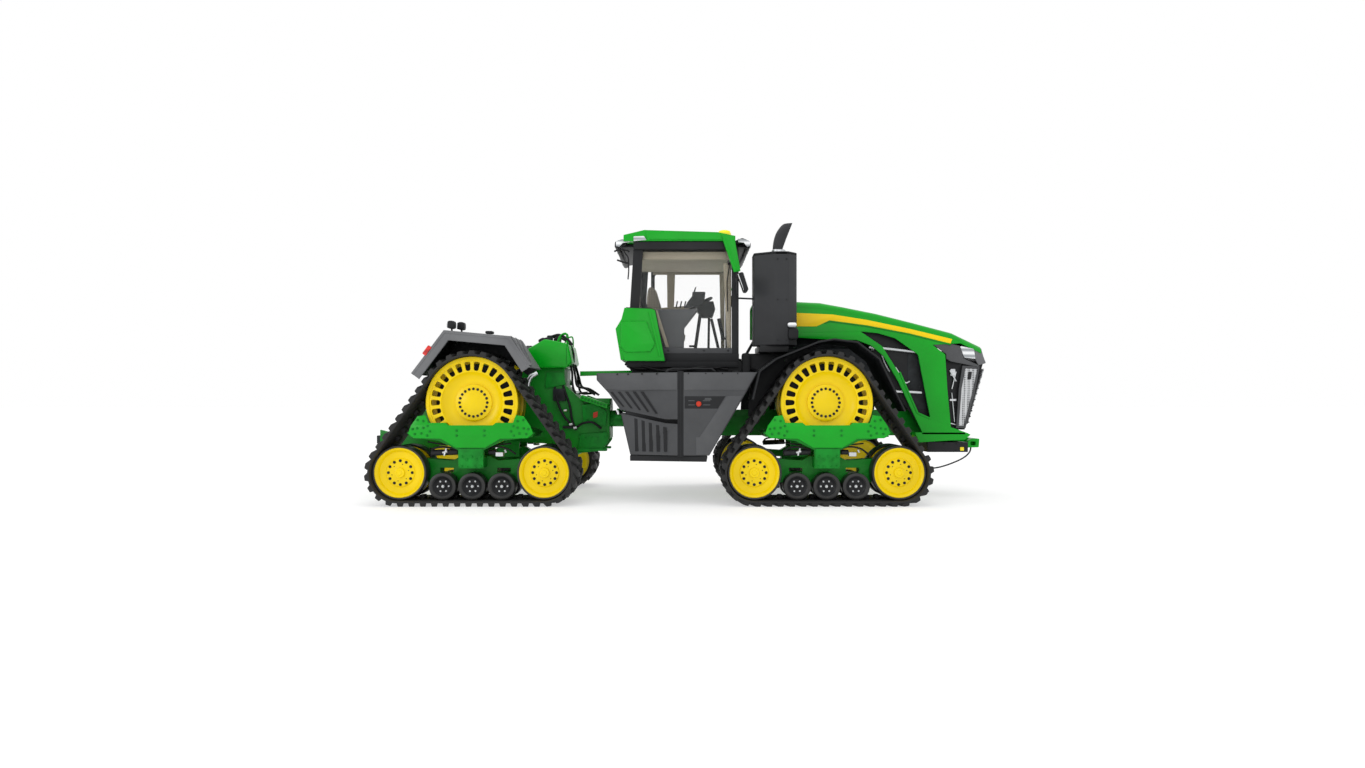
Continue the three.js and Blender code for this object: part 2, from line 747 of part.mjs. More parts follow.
// ---- steering cylinders ----
function steeringCylinder(side, name) {
  const base = new THREE.Vector2(STEER_X + CYLINDER_BASE[0], side * CYLINDER_BASE[1]);
  const eye = new THREE.Vector2(STEER_X + CYLINDER_EYE[0], side * CYLINDER_EYE[1]);
  const reach = eye.distanceTo(base);
  const group = new THREE.Group();
  group.position.set(base.x, base.y, CYLINDER_HEIGHT);
  group.rotation.z = eye.clone().sub(base).angle();
  const half = EYE_THICKNESS / 2;
  const boreRadius = ROD_RADIUS + 6;
  const tailStart = reach - 380;
  const tube = barX(BARREL_RADIUS, COLLAR_RADIUS + 7, BARREL_LENGTH, 14, 0, 0);
  const barrel = cut(
    join(tube, barZ(BARREL_EYE_RADIUS, -half, half, 14, 0, 0)),
    barZ(EYE_PIN_RADIUS + RUNNING, -half - 5, half + 5, 12, 0, 0),
    barX(boreRadius, 70, BARREL_LENGTH + 5, 12, 0, 0),
  );
  const shaft = barX(ROD_RADIUS, tailStart, reach - EYE_PIN_RADIUS - EYE_CLEARANCE - 8, 12, 0, 0);
  const rod = cut(
    join(shaft, barZ(EYE_RADIUS, -half, half, 18, reach, 0)),
    barZ(EYE_PIN_RADIUS + EYE_CLEARANCE, -half - 5, half + 5, 18, reach, 0),
  );
  piece(group, `steering_barrel_${name}`, barrel, BLACK);
  piece(group, `steering_rod_${name}`, rod, STEEL);
  tractor.add(group);
}

// ---- cab ----
const WHEEL_HUB = [330, 0, 2820];
const WHEEL_TILT = 0.5; // radians back from level

function cabFrame() {
  const floor = box([CAB_BACK_BOTTOM, CAB_FRONT], both(CAB_HALF_WIDTH), CAB_FLOOR);
  const crown = slab(
    [
      [CAB_BACK_TOP, -CAB_HALF_WIDTH],
      [CAB_FRONT - 100, -CAB_HALF_WIDTH],
      [CAB_FRONT, -CAB_HALF_WIDTH + 100],
      [CAB_FRONT, CAB_HALF_WIDTH - 100],
      [CAB_FRONT - 100, CAB_HALF_WIDTH],
      [CAB_BACK_TOP, CAB_HALF_WIDTH],
    ],
    ...CAB_TOP,
  );
  const height = [CAB_FLOOR[1] - 10, CAB_TOP[0] + 10];
  const posts = [-1, 1].flatMap((side) => {
    const y = side < 0 ? [-CAB_HALF_WIDTH, -CAB_HALF_WIDTH + 55] : [CAB_HALF_WIDTH - 55, CAB_HALF_WIDTH];
    return [
      box([CAB_FRONT - PILLAR, CAB_FRONT], y, height),
      strut([CAB_BACK_BOTTOM + 66, height[0]], [CAB_BACK_TOP + 66, height[1]], 130, ...y),
    ];
  });
  const bars = [
    box([CAB_FRONT - 20, CAB_FRONT + 173], both(CAB_HALF_WIDTH - 160), [CAB_TOP[1] - 45, CAB_TOP[1] - 10]),
    box([CAB_BACK_TOP - 259, CAB_BACK_TOP + 20], both(CAB_HALF_WIDTH - 160), [CAB_TOP[1] - 45, CAB_TOP[1] - 10]),
  ];
  const console = plate(
    [
      [-240, CAB_FLOOR[1] - 5],
      [90, CAB_FLOOR[1] - 5],
      [100, 2420],
      [285, 2660],
      [-290, 2660],
    ],
    -CAB_HALF_WIDTH + 115,
    -430,
  );
  const columnFoot = [WHEEL_HUB[0] - 100, CAB_FLOOR[1] - 30];
  const columnHead = [WHEEL_HUB[0] + 20, WHEEL_HUB[2] - 60];
  const column = strut(columnFoot, columnHead, 50, -30, 30);
  return join(floor, crown, ...posts, ...bars, console, column);
}

function cabRoof() {
  const outline = [
    [-738, 3662],
    [-738, CAB_TOP[1] + FIT],
    [800, CAB_TOP[1] + FIT],
    [800, 3649],
    [560, 3700],
    [-454, ROOF_TOP],
  ];
  const cap = plate(outline, -CAB_HALF_WIDTH - ROOF_OVERHANG, CAB_HALF_WIDTH + ROOF_OVERHANG);
  const fins = [-1, 1].map((side) => {
    const y = side * (CAB_HALF_WIDTH + ROOF_OVERHANG + 20);
    return plate(
      [
        [623, CAB_TOP[1] + 15],
        [778, 3146],
        [867, 3161],
        [780, CAB_TOP[1] + 60],
        [640, CAB_TOP[1] + 60],
      ],
      y - 25,
      y + 25,
    );
  });
  return join(cap, ...fins);
}

// One wrap of glass behind the pillars: windscreen, right side and rear window.
function cabGlazing() {
  const inner = CAB_HALF_WIDTH - 55 - FIT;
  const front = CAB_FRONT - PILLAR - FIT;
  const back = CAB_BACK_TOP + 20;
  const t = GLASS_THICKNESS;
  const wrap = slab(
    [
      [front, inner],
      [front, -inner],
      [back, -inner],
      [back, inner],
      [back + t, inner],
      [back + t, -inner + t],
      [front - t, -inner + t],
      [front - t, inner],
    ].reverse(),
    CAB_FLOOR[1] + FIT,
    CAB_TOP[0] - FIT,
  );
  return wrap;
}

const DOOR_HINGE_X = -430;

function cabDoor() {
  const y = [CAB_HALF_WIDTH - 50, CAB_HALF_WIDTH - 5];
  const z = [CAB_FLOOR[1] + 8, CAB_TOP[0] - 8];
  const x = [DOOR_HINGE_X, CAB_FRONT - PILLAR - 10];
  const leaf = box(x, y, z);
  const opening = box([x[0] + 60, x[1] - 60], [y[0] - 5, y[1] + 5], [z[0] + 90, z[1] - 70]);
  const pane = box([x[0] + 50, x[1] - 50], [y[0] + 18, y[0] + 18 + GLASS_THICKNESS], [z[0] + 80, z[1] - 60]);
  const handle = box([x[1] - 70, x[1] - 40], [y[1] - 5, y[1] + 45], [2500, 2680]);
  return cut(solid(leaf), opening).add(solid(pane)).add(solid(handle));
}

// The green cover that wraps the cab's lower rear corners.
function cabRearCover() {
  const outline = [
    [-715, 1927],
    [-841, 2363],
    [-760, 2497],
    [-720, 2651],
    [-346, 2636],
    [-302, 2614],
    [-168, 1927],
  ];
  const outer = CAB_HALF_WIDTH + 140;
  const inner = CAB_HALF_WIDTH + FIT;
  const sides = [
    plate(outline.toReversed(), -outer, -inner),
    plate(outline.toReversed().map(([x, z]) => [Math.min(x, DOOR_HINGE_X - 40), z]), inner, outer),
  ];
  const back = plate(
    [
      [-770, 1940],
      [-841, 2363],
      [-790, 2440],
      [-745, 2440],
      [-770, 2350],
      [-725, 1940],
    ],
    -outer + 5,
    outer - 5,
  );
  return join(...sides, back);
}

function seat() {
  const base = box([-330, 60], both(190), [CAB_FLOOR[1] + 3, 2260]);
  const cushion = box([-380, 150], both(265), [2250, 2400]);
  const back = strut([-310, 2330], [-370, 3080], 130, -250, 250);
  const rest = box([-260, 120], [-330, -275], [2560, 2620]);
  const restPost = box([-330, -250], [-330, -200], [2540, 2620]);
  return join(base, cushion, back, rest, restPost);
}

function steeringWheel(parent) {
  const group = new THREE.Group();
  group.position.set(...WHEEL_HUB);
  group.rotation.y = -WHEEL_TILT;
  const rim = new THREE.TorusGeometry(205, 15, 5, 16);
  const spokes = box(both(196), both(16), both(8));
  const crossSpoke = box(both(16), [0, 196], both(8));
  const hub = barZ(48, -30, 20, 12, 0, 0);
  piece(group, "steering_wheel", join(rim, spokes, crossSpoke, hub), BLACK);
  parent.add(group);
}

// ---- hood and engine ----
const HOOD_TOP = [
  [HOOD_BACK, HOOD_TOP_BACK],
  [2040, 2789],
  [2354, 2732],
  [2835, 2636],
  [3317, 2516],
  [3920, 2359],
  NOSE_TOP,
];

function hood() {
  const side = [
    ...HOOD_TOP.toReversed(),
    [HOOD_BACK, 2330],
    [1743, 2275],
    [2066, 2261],
    [2558, 2247],
    [2940, 2015],
    [3484, 945],
    [4080, 945],
    [3900, 2044],
    [4120, 2130],
  ];
  const shell = plate(side, -HOOD_HALF_WIDTH, HOOD_HALF_WIDTH);
  const underside = HOOD_TOP.slice(0, -1).map(([x, z]) => [x, z - 60]);
  const openFront = [NOSE_TOP[0] + 200, NOSE_TOP[1] - 120];
  const openBack = [HOOD_BACK - 50, HOOD_TOP_BACK - 60];
  const inside = plate(
    [openFront, ...underside.toReversed(), openBack, [HOOD_BACK - 50, 900], [4500, 900]],
    -HOOD_HALF_WIDTH + HOOD_SKIN,
    HOOD_HALF_WIDTH - HOOD_SKIN,
  );
  const window = plate(
    [
      [2640, 2355],
      [3102, 2274],
      [3430, 2043],
      [3471, 1825],
      [3607, 1150],
      [3440, 1215],
    ].reverse(),
    -HOOD_HALF_WIDTH - 10,
    HOOD_HALF_WIDTH + 10,
  );
  return cut(solid(shell), inside, window);
}

function noseGrille() {
  return plate(
    [
      [4150, 2110],
      [4395, 2104],
      [NOSE_TIP, 1922],
      [4171, 950],
      [4110, 950],
      [3935, 2030],
    ].reverse(),
    -HOOD_HALF_WIDTH + 40,
    HOOD_HALF_WIDTH - 40,
  );
}

function engine() {
  const block = box([1420, 3120], both(260), [FRAME_TOP + 120, 2150]);
  const head = box([1500, 3000], both(170), [2140, 2420]);
  const mounts = box([1600, 2900], both(150), [FRAME_TOP + 2, FRAME_TOP + 130]);
  const cooler = box([3300, 3640], both(430), [FRAME_TOP + 5, 2150]);
  const link = box([3100, 3320], both(90), [1600, 1760]);
  const halfRoom = DIFFERENTIAL_HALF_LENGTH + 10;
  const differentialRoom = box(
    [FRONT_AXLE_X - halfRoom, FRONT_AXLE_X + halfRoom],
    both(FRAME_HALF_WIDTH),
    [FRAME_TOP, DIFFERENTIAL_TOP + 10],
  );
  return cut(join(block, head, mounts, cooler, link), differentialRoom);
}

function exhaustStack() {
  const [x0, x1] = STACK_X;
  const [y0, y1] = STACK_Y;
  const can = slab(
    [
      [x0, y1],
      [x0, y0 + 150],
      [x0 + 200, y0],
      [x1 - 130, y0],
      [x1, y0 + 120],
      [x1, y1],
    ],
    ...STACK_Z,
  );
  const pipeX = 1396;
  const pipeY = (y0 + y1) / 2;
  const route = new THREE.CatmullRomCurve3([
    new THREE.Vector3(pipeX, pipeY, STACK_Z[1] - 20),
    new THREE.Vector3(pipeX, pipeY, STACK_Z[1] + 130),
    new THREE.Vector3(pipeX + 25, pipeY, STACK_Z[1] + 250),
    new THREE.Vector3(pipeX + 130, pipeY, STACK_Z[1] + 370),
  ]);
  const ring = new THREE.Shape().absarc(0, 0, 88, 0, 2 * Math.PI, false);
  const pipe = new THREE.ExtrudeGeometry(ring, { steps: 6, curveSegments: 5, extrudePath: route });
  return join(can, pipe);
}

// ---- tanks and fenders ----
function fuelTank(side) {
  const outline = [
    [-1100, TANK_TOP],
    [-1100, 1665],
    [-925, 1481],
    [-770, 1246],
    [-634, 657],
    [-634, TANK_BOTTOM],
    [392, TANK_BOTTOM],
    [427, 657],
    [1065, TANK_TOP],
  ];
  const block = plate(outline, -TANK_OUTER, -TANK_INNER);
  const taperEnd = -1200;
  const closed = (TANK_TAPER_START - taperEnd) * TANK_TAPER;
  const taper = slab(
    [
      [TANK_TAPER_START, -TANK_OUTER],
      [taperEnd, -TANK_OUTER + closed],
      [taperEnd, -TANK_OUTER - 50],
      [TANK_TAPER_START, -TANK_OUTER - 50],
    ],
    TANK_BOTTOM - 10,
    TANK_TOP + 10,
  );
  const deckRoom = box([DECK_X[0] - 5, DECK_X[1] + 5], [-DECK_HALF_WIDTH - FIT, 0], [DECK_Z[0] - FIT, 2000]);
  const groove = box([6, 90], [-TANK_OUTER - 10, -TANK_OUTER + 12], [TANK_BOTTOM - 10, TANK_TOP + 10]);
  const recess = box([140, 600], [-TANK_OUTER - 10, -TANK_OUTER + 25], [1273, 1440]);
  const body = cut(solid(block), taper, deckRoom, ...(side === "right" ? [groove, recess] : []));
  if (side === "right") return body;
  const niche = box([-20, 520], [-TANK_OUTER - 10, -TANK_OUTER + 260], [TANK_BOTTOM - 10, TANK_TOP + 10]);
  const steps = [0, 1, 2, 3].map((i) =>
    box([-30, 530], [-TANK_OUTER + 5 + i * 30, -TANK_OUTER + 265], [640 + i * 290, 670 + i * 290]),
  );
  return steps.reduce((sum, step) => sum.add(solid(step)), cut(body, niche));
}

function frontFender() {
  return plate(bandUnder(FRONT_FENDER_LINE, FENDER_SKIN).reverse(), -FRONT_FENDER_OUTER, -FENDER_INNER);
}

function rearFender() {
  const sheet = plate(bandUnder(REAR_FENDER_LINE, FENDER_SKIN).reverse(), -REAR_FENDER_OUTER, -FENDER_INNER);
  const edge = bandUnder(REAR_FENDER_LINE, FENDER_LIP).reverse();
  const lip = plate(edge, -REAR_FENDER_OUTER, -REAR_FENDER_OUTER + 35);
  return join(sheet, lip);
}

// ---- mirrors ----
function mirror() {
  const y = -CAB_HALF_WIDTH - ROOF_OVERHANG - 20;
  const post = box([800, 845], [y - 20, y + 20], [2830, 3142]);
  const arm = box([805, 840], [y - 150, y + 15], [3040, 3080]);
  const head = box([833, 905], [y - 330, y - 120], [2838, 3090]);
  return join(post, arm, head);
}

// ---- assembly ----
for (const end of ["front", "rear"]) for (const side of ["right", "left"]) trackUnit(end, side);

piece(tractor, "front_frame", frontFrame(), DARK_GREEN);
piece(tractor, "rear_frame", rearFrame(), DARK_GREEN);
piece(tractor, "articulation_yoke", yoke(), DARK_GREEN);
piece(tractor, "drawbar", drawbar(), CAST);
piece(tractor, "hydraulic_tank", hydraulicTank(), GREEN);
steeringCylinder(-1, "right");
steeringCylinder(1, "left");
piece(tractor, "cab_frame", cabFrame(), BLACK);
piece(tractor, "cab_roof", cabRoof(), GREEN);
piece(tractor, "cab_glazing", cabGlazing(), GLASS);
piece(tractor, "cab_door", cabDoor(), BLACK);
piece(tractor, "cab_rear_cover", cabRearCover(), GREEN);
piece(tractor, "seat", seat(), FABRIC);
steeringWheel(tractor);
piece(tractor, "hood", hood(), GREEN);
piece(tractor, "nose_grille", noseGrille(), BLACK);
piece(tractor, "engine", engine(), CAST);
piece(tractor, "exhaust_stack", exhaustStack(), BLACK);
piece(tractor, "fuel_tank_right", fuelTank("right"), CHARCOAL);
piece(tractor, "front_fender_right", frontFender(), BLACK);
piece(tractor, "rear_fender_right", rearFender(), CHARCOAL);
piece(tractor, "mirror_right", mirror(), BLACK);

// The left-hand pieces are the right-hand ones seen in a mirror.
const left = new THREE.Group();
left.scale.y = -1;
tractor.add(left);
piece(left, "fuel_tank_left", fuelTank("left"), CHARCOAL);
piece(left, "front_fender_left", frontFender(), BLACK);
piece(left, "rear_fender_left", rearFender(), CHARCOAL);
piece(left, "mirror_left", mirror(), BLACK);

export default tractor;
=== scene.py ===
import json
import logging
import math
from collections.abc import Iterable, Sequence
from dataclasses import dataclass, field
from enum import Enum

import bmesh
import bpy
from bpy.types import Material, Mesh, Node, NodeSocket, NodeTree, Object
from mathutils import Matrix, Vector

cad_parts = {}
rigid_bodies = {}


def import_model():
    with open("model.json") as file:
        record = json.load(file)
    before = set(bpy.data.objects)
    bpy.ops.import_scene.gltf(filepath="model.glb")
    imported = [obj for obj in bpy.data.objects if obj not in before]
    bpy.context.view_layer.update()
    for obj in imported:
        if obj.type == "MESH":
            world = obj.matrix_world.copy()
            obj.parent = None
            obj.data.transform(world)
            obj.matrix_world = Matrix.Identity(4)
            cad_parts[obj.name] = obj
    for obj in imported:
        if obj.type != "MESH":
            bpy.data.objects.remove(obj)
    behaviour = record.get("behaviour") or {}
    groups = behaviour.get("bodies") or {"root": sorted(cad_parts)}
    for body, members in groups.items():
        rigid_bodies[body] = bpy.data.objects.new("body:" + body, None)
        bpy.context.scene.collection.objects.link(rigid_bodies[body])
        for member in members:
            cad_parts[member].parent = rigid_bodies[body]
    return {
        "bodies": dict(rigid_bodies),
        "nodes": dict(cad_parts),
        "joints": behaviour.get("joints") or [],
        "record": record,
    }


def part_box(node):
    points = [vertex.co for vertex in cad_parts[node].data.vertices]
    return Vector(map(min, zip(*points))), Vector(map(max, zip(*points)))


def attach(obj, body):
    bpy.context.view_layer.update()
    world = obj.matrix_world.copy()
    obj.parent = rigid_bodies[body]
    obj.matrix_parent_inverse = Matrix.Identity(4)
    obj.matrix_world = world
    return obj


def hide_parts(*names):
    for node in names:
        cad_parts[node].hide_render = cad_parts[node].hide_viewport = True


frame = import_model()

LOG = logging.getLogger("tractor")
Point = tuple[float, float]
Place = tuple[float, float, float]
Coords = Sequence[float]
Outline = Sequence[Point]
ORIGIN = (0.0, 0.0, 0.0)
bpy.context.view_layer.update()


class Side(Enum):
    """The tractor's right-hand or left-hand side, with the sign of its Y."""

    RIGHT = -1
    LEFT = 1

    @property
    def word(self) -> str:
        """The side's name as the frame writes it."""
        return self.name.lower()


class End(Enum):
    """The front or rear half of the machine."""

    FRONT = "front"
    REAR = "rear"


class Plane(Enum):
    """How a flat outline stands: its two directions, then the direction of its thickness."""

    SIDE = ((1, 0, 0), (0, 0, 1), (0, 1, 0))
    PLAN = ((1, 0, 0), (0, 1, 0), (0, 0, 1))
    CROSS = ((0, 1, 0), (0, 0, 1), (1, 0, 0))


# ------------------------------------------------------------------ finishes


def linear(hex_colour: str) -> tuple[float, float, float, float]:
    """Turns an sRGB hex colour into Blender's linear values.

    Args:
        hex_colour: Six hex digits.

    Returns:
        Red, green, blue and alpha.
    """
    parts = [int(hex_colour[i : i + 2], 16) / 255 for i in (0, 2, 4)]
    return (*[c / 12.92 if c <= 0.04045 else ((c + 0.055) / 1.055) ** 2.4 for c in parts], 1.0)


def add(tree: NodeTree, kind: str, links: dict | None = None, **settings: object) -> Node:
    """Adds one node with its settings and its inputs.

    Args:
        tree: The tree that gets the node.
        kind: The node's type name.
        links: Inputs by name or index, each a socket to link or a value to set.
        settings: The node's own properties.

    Returns:
        The new node.
    """
    node = tree.nodes.new(kind)
    for key, value in settings.items():
        setattr(node, key, value)
    for key, value in (links or {}).items():
        if isinstance(value, NodeSocket):
            tree.links.new(value, node.inputs[key])
        else:
            node.inputs[key].default_value = value
    return node


@dataclass(frozen=True)
class Finish:
    """A surface made of one real material.

    Subclasses say how the light, the colour and the relief are made. Sizes are in millimetres.
    """

    name: str
    colour: str
    slot: str
    roughness: float = 0.4
    shine: float = 0.2

    def shade(self, tree: NodeTree, where: NodeSocket, shader: Node) -> None:
        """Sets the shader's sockets; each material does this in its own way."""
        raise NotImplementedError

    def blend(
        self, tree: NodeTree, factor: NodeSocket, low: str, high: str, start: float = 0.0, stop: float = 1.0
    ) -> NodeSocket:
        """Two tones blended by a factor.

        Args:
            tree: The material's tree.
            factor: 0 for the first tone, 1 for the second.
            low: The first tone.
            high: The second tone.
            start: The factor where the blend starts.
            stop: The factor where it ends.

        Returns:
            The colour socket.
        """
        ramp = add(tree, "ShaderNodeValToRGB", {"Fac": factor})
        for stop_point, place, tone in zip(ramp.color_ramp.elements, (start, stop), (low, high)):
            stop_point.position = place
            stop_point.color = linear(tone)
        return ramp.outputs["Color"]

    def mottle(self, tree: NodeTree, where: NodeSocket, spread_mm: float, low: str, high: str) -> NodeSocket:
        """A colour that drifts between two tones in soft patches.

        Args:
            tree: The material's tree.
            where: The position socket.
            spread_mm: How wide a patch is.
            low: The darker tone.
            high: The lighter tone.

        Returns:
            The colour socket.
        """
        noise = add(
            tree, "ShaderNodeTexNoise",
            {"Vector": where, "Scale": 1000 / spread_mm, "Detail": 4.0, "Roughness": 0.6},
        )
        return self.blend(tree, noise.outputs["Fac"], low, high, 0.3, 0.7)

    def relief(
        self, tree: NodeTree, where: NodeSocket, grain_mm: float, height_mm: float
    ) -> NodeSocket:
        """A bumped normal of grains of one size.

        Args:
            tree: The material's tree.
            where: The position socket.
            grain_mm: The grain's width.
            height_mm: The grain's height.

        Returns:
            The normal socket.
        """
        noise = add(tree, "ShaderNodeTexNoise", {"Vector": where, "Scale": 1000 / grain_mm, "Detail": 3.0})
        bump = add(
            tree, "ShaderNodeBump",
            {"Height": noise.outputs["Fac"], "Distance": height_mm / 1000, "Strength": 1.0},
        )
        return bump.outputs["Normal"]

    def gloss(
        self, tree: NodeTree, where: NodeSocket, spread_mm: float, spread: float
    ) -> NodeSocket:
        """A roughness that drifts a little about this finish's own.

        Args:
            tree: The material's tree.
            where: The position socket.
            spread_mm: How wide a patch is.
            spread: How far it goes each way.

        Returns:
            The roughness socket.
        """
        noise = add(tree, "ShaderNodeTexNoise", {"Vector": where, "Scale": 1000 / spread_mm, "Detail": 2.0})
        mapped = add(
            tree, "ShaderNodeMapRange",
            {
                "Value": noise.outputs["Fac"], "To Min": max(self.roughness - spread, 0.02),
                "To Max": self.roughness + spread,
            },
        )
        return mapped.outputs["Result"]

    def material(self) -> Material:
        """The finish as a material, made once and then reused."""
        known = bpy.data.materials.get(self.name)
        if known:
            return known
        made = bpy.data.materials.new(self.name)
        made.use_nodes = True
        made.diffuse_color = linear(self.colour)
        tree = made.node_tree
        tree.nodes.clear()
        where = add(tree, "ShaderNodeTexCoord").outputs["Object"]
        shader = add(tree, "ShaderNodeBsdfPrincipled", {"Roughness": self.roughness})
        shader.inputs["Specular IOR Level"].default_value = self.shine
        self.shade(tree, where, shader)
        add(tree, "ShaderNodeOutputMaterial", {"Surface": shader.outputs["BSDF"]})
        return made


@dataclass(frozen=True)
class Enamel(Finish):
    """Sprayed two-part enamel on sheet steel: a wet coat over a faint orange peel and a little field dust."""

    deep: str = "000000"
    coat: float = 0.12
    peel_mm: float = 9.0  # real peel is 2 to 3 mm; drawn coarser so that it shows

    def shade(self, tree: NodeTree, where: NodeSocket, shader: Node) -> None:
        """Colour, gloss and peel of the paint."""
        tree.links.new(self.mottle(tree, where, 900, self.deep, self.colour), shader.inputs["Base Color"])
        tree.links.new(self.gloss(tree, where, 120, 0.06), shader.inputs["Roughness"])
        tree.links.new(self.relief(tree, where, self.peel_mm, 0.05), shader.inputs["Normal"])
        shader.inputs["Coat Weight"].default_value = self.coat
        shader.inputs["Coat Roughness"].default_value = 0.12


@dataclass(frozen=True)
class MouldedPlastic(Finish):
    """Moulded polyethylene or ABS: an even matt skin with a spark-eroded grain."""

    grain_mm: float = 5.0
    pale: str = "6a6b6d"

    def shade(self, tree: NodeTree, where: NodeSocket, shader: Node) -> None:
        """Colour drift and moulded grain."""
        tree.links.new(self.mottle(tree, where, 500, self.colour, self.pale), shader.inputs["Base Color"])
        tree.links.new(self.gloss(tree, where, 40, 0.07), shader.inputs["Roughness"])
        tree.links.new(self.relief(tree, where, self.grain_mm, 0.12), shader.inputs["Normal"])


@dataclass(frozen=True)
class BeltRubber(Finish):
    """Cured carbon-black rubber: no gloss, a coarse mould grain and pale dust in the low spots."""

    dust: str = "3a3835"

    def shade(self, tree: NodeTree, where: NodeSocket, shader: Node) -> None:
        """Dusty black with a rough skin."""
        tree.links.new(self.mottle(tree, where, 70, self.colour, self.dust), shader.inputs["Base Color"])
        tree.links.new(self.gloss(tree, where, 25, 0.1), shader.inputs["Roughness"])
        tree.links.new(self.relief(tree, where, 12, 0.8), shader.inputs["Normal"])


@dataclass(frozen=True)
class Metal(Finish):
    """Bare or plated steel: drawn lines along its length and fingerprints of dull patches."""

    line_mm: float = 3.0
    pale: str = "d8dadc"

    def shade(self, tree: NodeTree, where: NodeSocket, shader: Node) -> None:
        """Drawn metal."""
        stretched = add(
            tree, "ShaderNodeMapping", {"Vector": where, "Scale": (0.1, 1.0, 1.0)}
        ).outputs["Vector"]
        tree.links.new(self.mottle(tree, stretched, 60, self.colour, self.pale), shader.inputs["Base Color"])
        tree.links.new(self.gloss(tree, stretched, self.line_mm * 4, 0.08), shader.inputs["Roughness"])
        tree.links.new(self.relief(tree, stretched, self.line_mm, 0.03), shader.inputs["Normal"])
        shader.inputs["Metallic"].default_value = 1.0


@dataclass(frozen=True)
class Casting(Finish):
    """Sand-cast iron under thin paint: a pebbled skin with darker hollows."""

    deep: str = "101214"

    def shade(self, tree: NodeTree, where: NodeSocket, shader: Node) -> None:
        """Pebbled casting."""
        tree.links.new(self.mottle(tree, where, 160, self.deep, self.colour), shader.inputs["Base Color"])
        tree.links.new(self.gloss(tree, where, 60, 0.1), shader.inputs["Roughness"])
        tree.links.new(self.relief(tree, where, 7, 0.5), shader.inputs["Normal"])


@dataclass(frozen=True)
class Glazing(Finish):
    """Tempered cab glass: faintly green, clear, with a thin film of dust that dulls its shine."""

    alpha: float = 0.022

    def shade(self, tree: NodeTree, where: NodeSocket, shader: Node) -> None:
        """A thin clear pane."""
        tree.links.new(self.mottle(tree, where, 400, "dfe6e4", self.colour), shader.inputs["Base Color"])
        tree.links.new(self.gloss(tree, where, 200, 0.02), shader.inputs["Roughness"])
        shader.inputs["Alpha"].default_value = self.alpha
        shader.inputs["IOR"].default_value = 1.5


@dataclass(frozen=True)
class Woven(Finish):
    """Flat-woven seat cloth: warp and weft that cross at right angles, with a soft sheen."""

    thread_mm: float = 6.0  # real thread is near 1 mm; drawn coarser so that it shows
    dark: str = "5d584f"

    def shade(self, tree: NodeTree, where: NodeSocket, shader: Node) -> None:
        """Crossed threads."""
        waves = [
            add(
                tree, "ShaderNodeTexWave",
                {"Vector": where, "Scale": 1000 / self.thread_mm / 20, "Distortion": 0.4, "Detail": 1.0},
                bands_direction=direction,
            ).outputs["Fac"]
            for direction in ("X", "Z")
        ]
        both = add(tree, "ShaderNodeMath", {0: waves[0], 1: waves[1]}, operation="MULTIPLY").outputs["Value"]
        tree.links.new(self.blend(tree, both, self.dark, self.colour), shader.inputs["Base Color"])
        bump = add(tree, "ShaderNodeBump", {"Height": both, "Distance": 0.0008})
        tree.links.new(bump.outputs["Normal"], shader.inputs["Normal"])
        shader.inputs["Sheen Weight"].default_value = 0.3


@dataclass(frozen=True)
class PunchedSheet(Finish):
    """Punched steel sheet in front of a radiator: round holes in a staggered grid, drawn into the colour."""

    pitch_mm: float = 26.0  # real holes are near 8 mm apart; drawn coarser so that they show
    hole: str = "3c3d40"

    def shade(self, tree: NodeTree, where: NodeSocket, shader: Node) -> None:
        """Dark round holes in a pale sheet."""
        cells = add(
            tree, "ShaderNodeTexVoronoi", {"Vector": where, "Scale": 1000 / self.pitch_mm, "Randomness": 0.0}
        )
        edge = add(
            tree, "ShaderNodeMapRange",
            {"Value": cells.outputs["Distance"], "From Min": 0.32, "From Max": 0.42},
        )
        tone = self.blend(tree, edge.outputs["Result"], self.hole, self.colour)
        tree.links.new(tone, shader.inputs["Base Color"])
        bump = add(tree, "ShaderNodeBump", {"Height": edge.outputs["Result"], "Distance": 0.002})
        tree.links.new(bump.outputs["Normal"], shader.inputs["Normal"])
        shader.inputs["Metallic"].default_value = 0.4


@dataclass(frozen=True)
class Lens(Finish):
    """Moulded polycarbonate lamp lens over a bright reflector: fine flutes and a clear gloss."""

    flute_mm: float = 14.0
    dark: str = "8f9498"

    def shade(self, tree: NodeTree, where: NodeSocket, shader: Node) -> None:
        """Fluted bright lens."""
        flutes = add(
            tree, "ShaderNodeTexWave", {"Vector": where, "Scale": 1000 / self.flute_mm / 20, "Detail": 0.0},
            bands_direction="Z",
        )
        tone = self.blend(tree, flutes.outputs["Fac"], self.dark, self.colour)
        tree.links.new(tone, shader.inputs["Base Color"])
        bump = add(tree, "ShaderNodeBump", {"Height": flutes.outputs["Fac"], "Distance": 0.002})
        tree.links.new(bump.outputs["Normal"], shader.inputs["Normal"])
        shader.inputs["Coat Weight"].default_value = 0.8


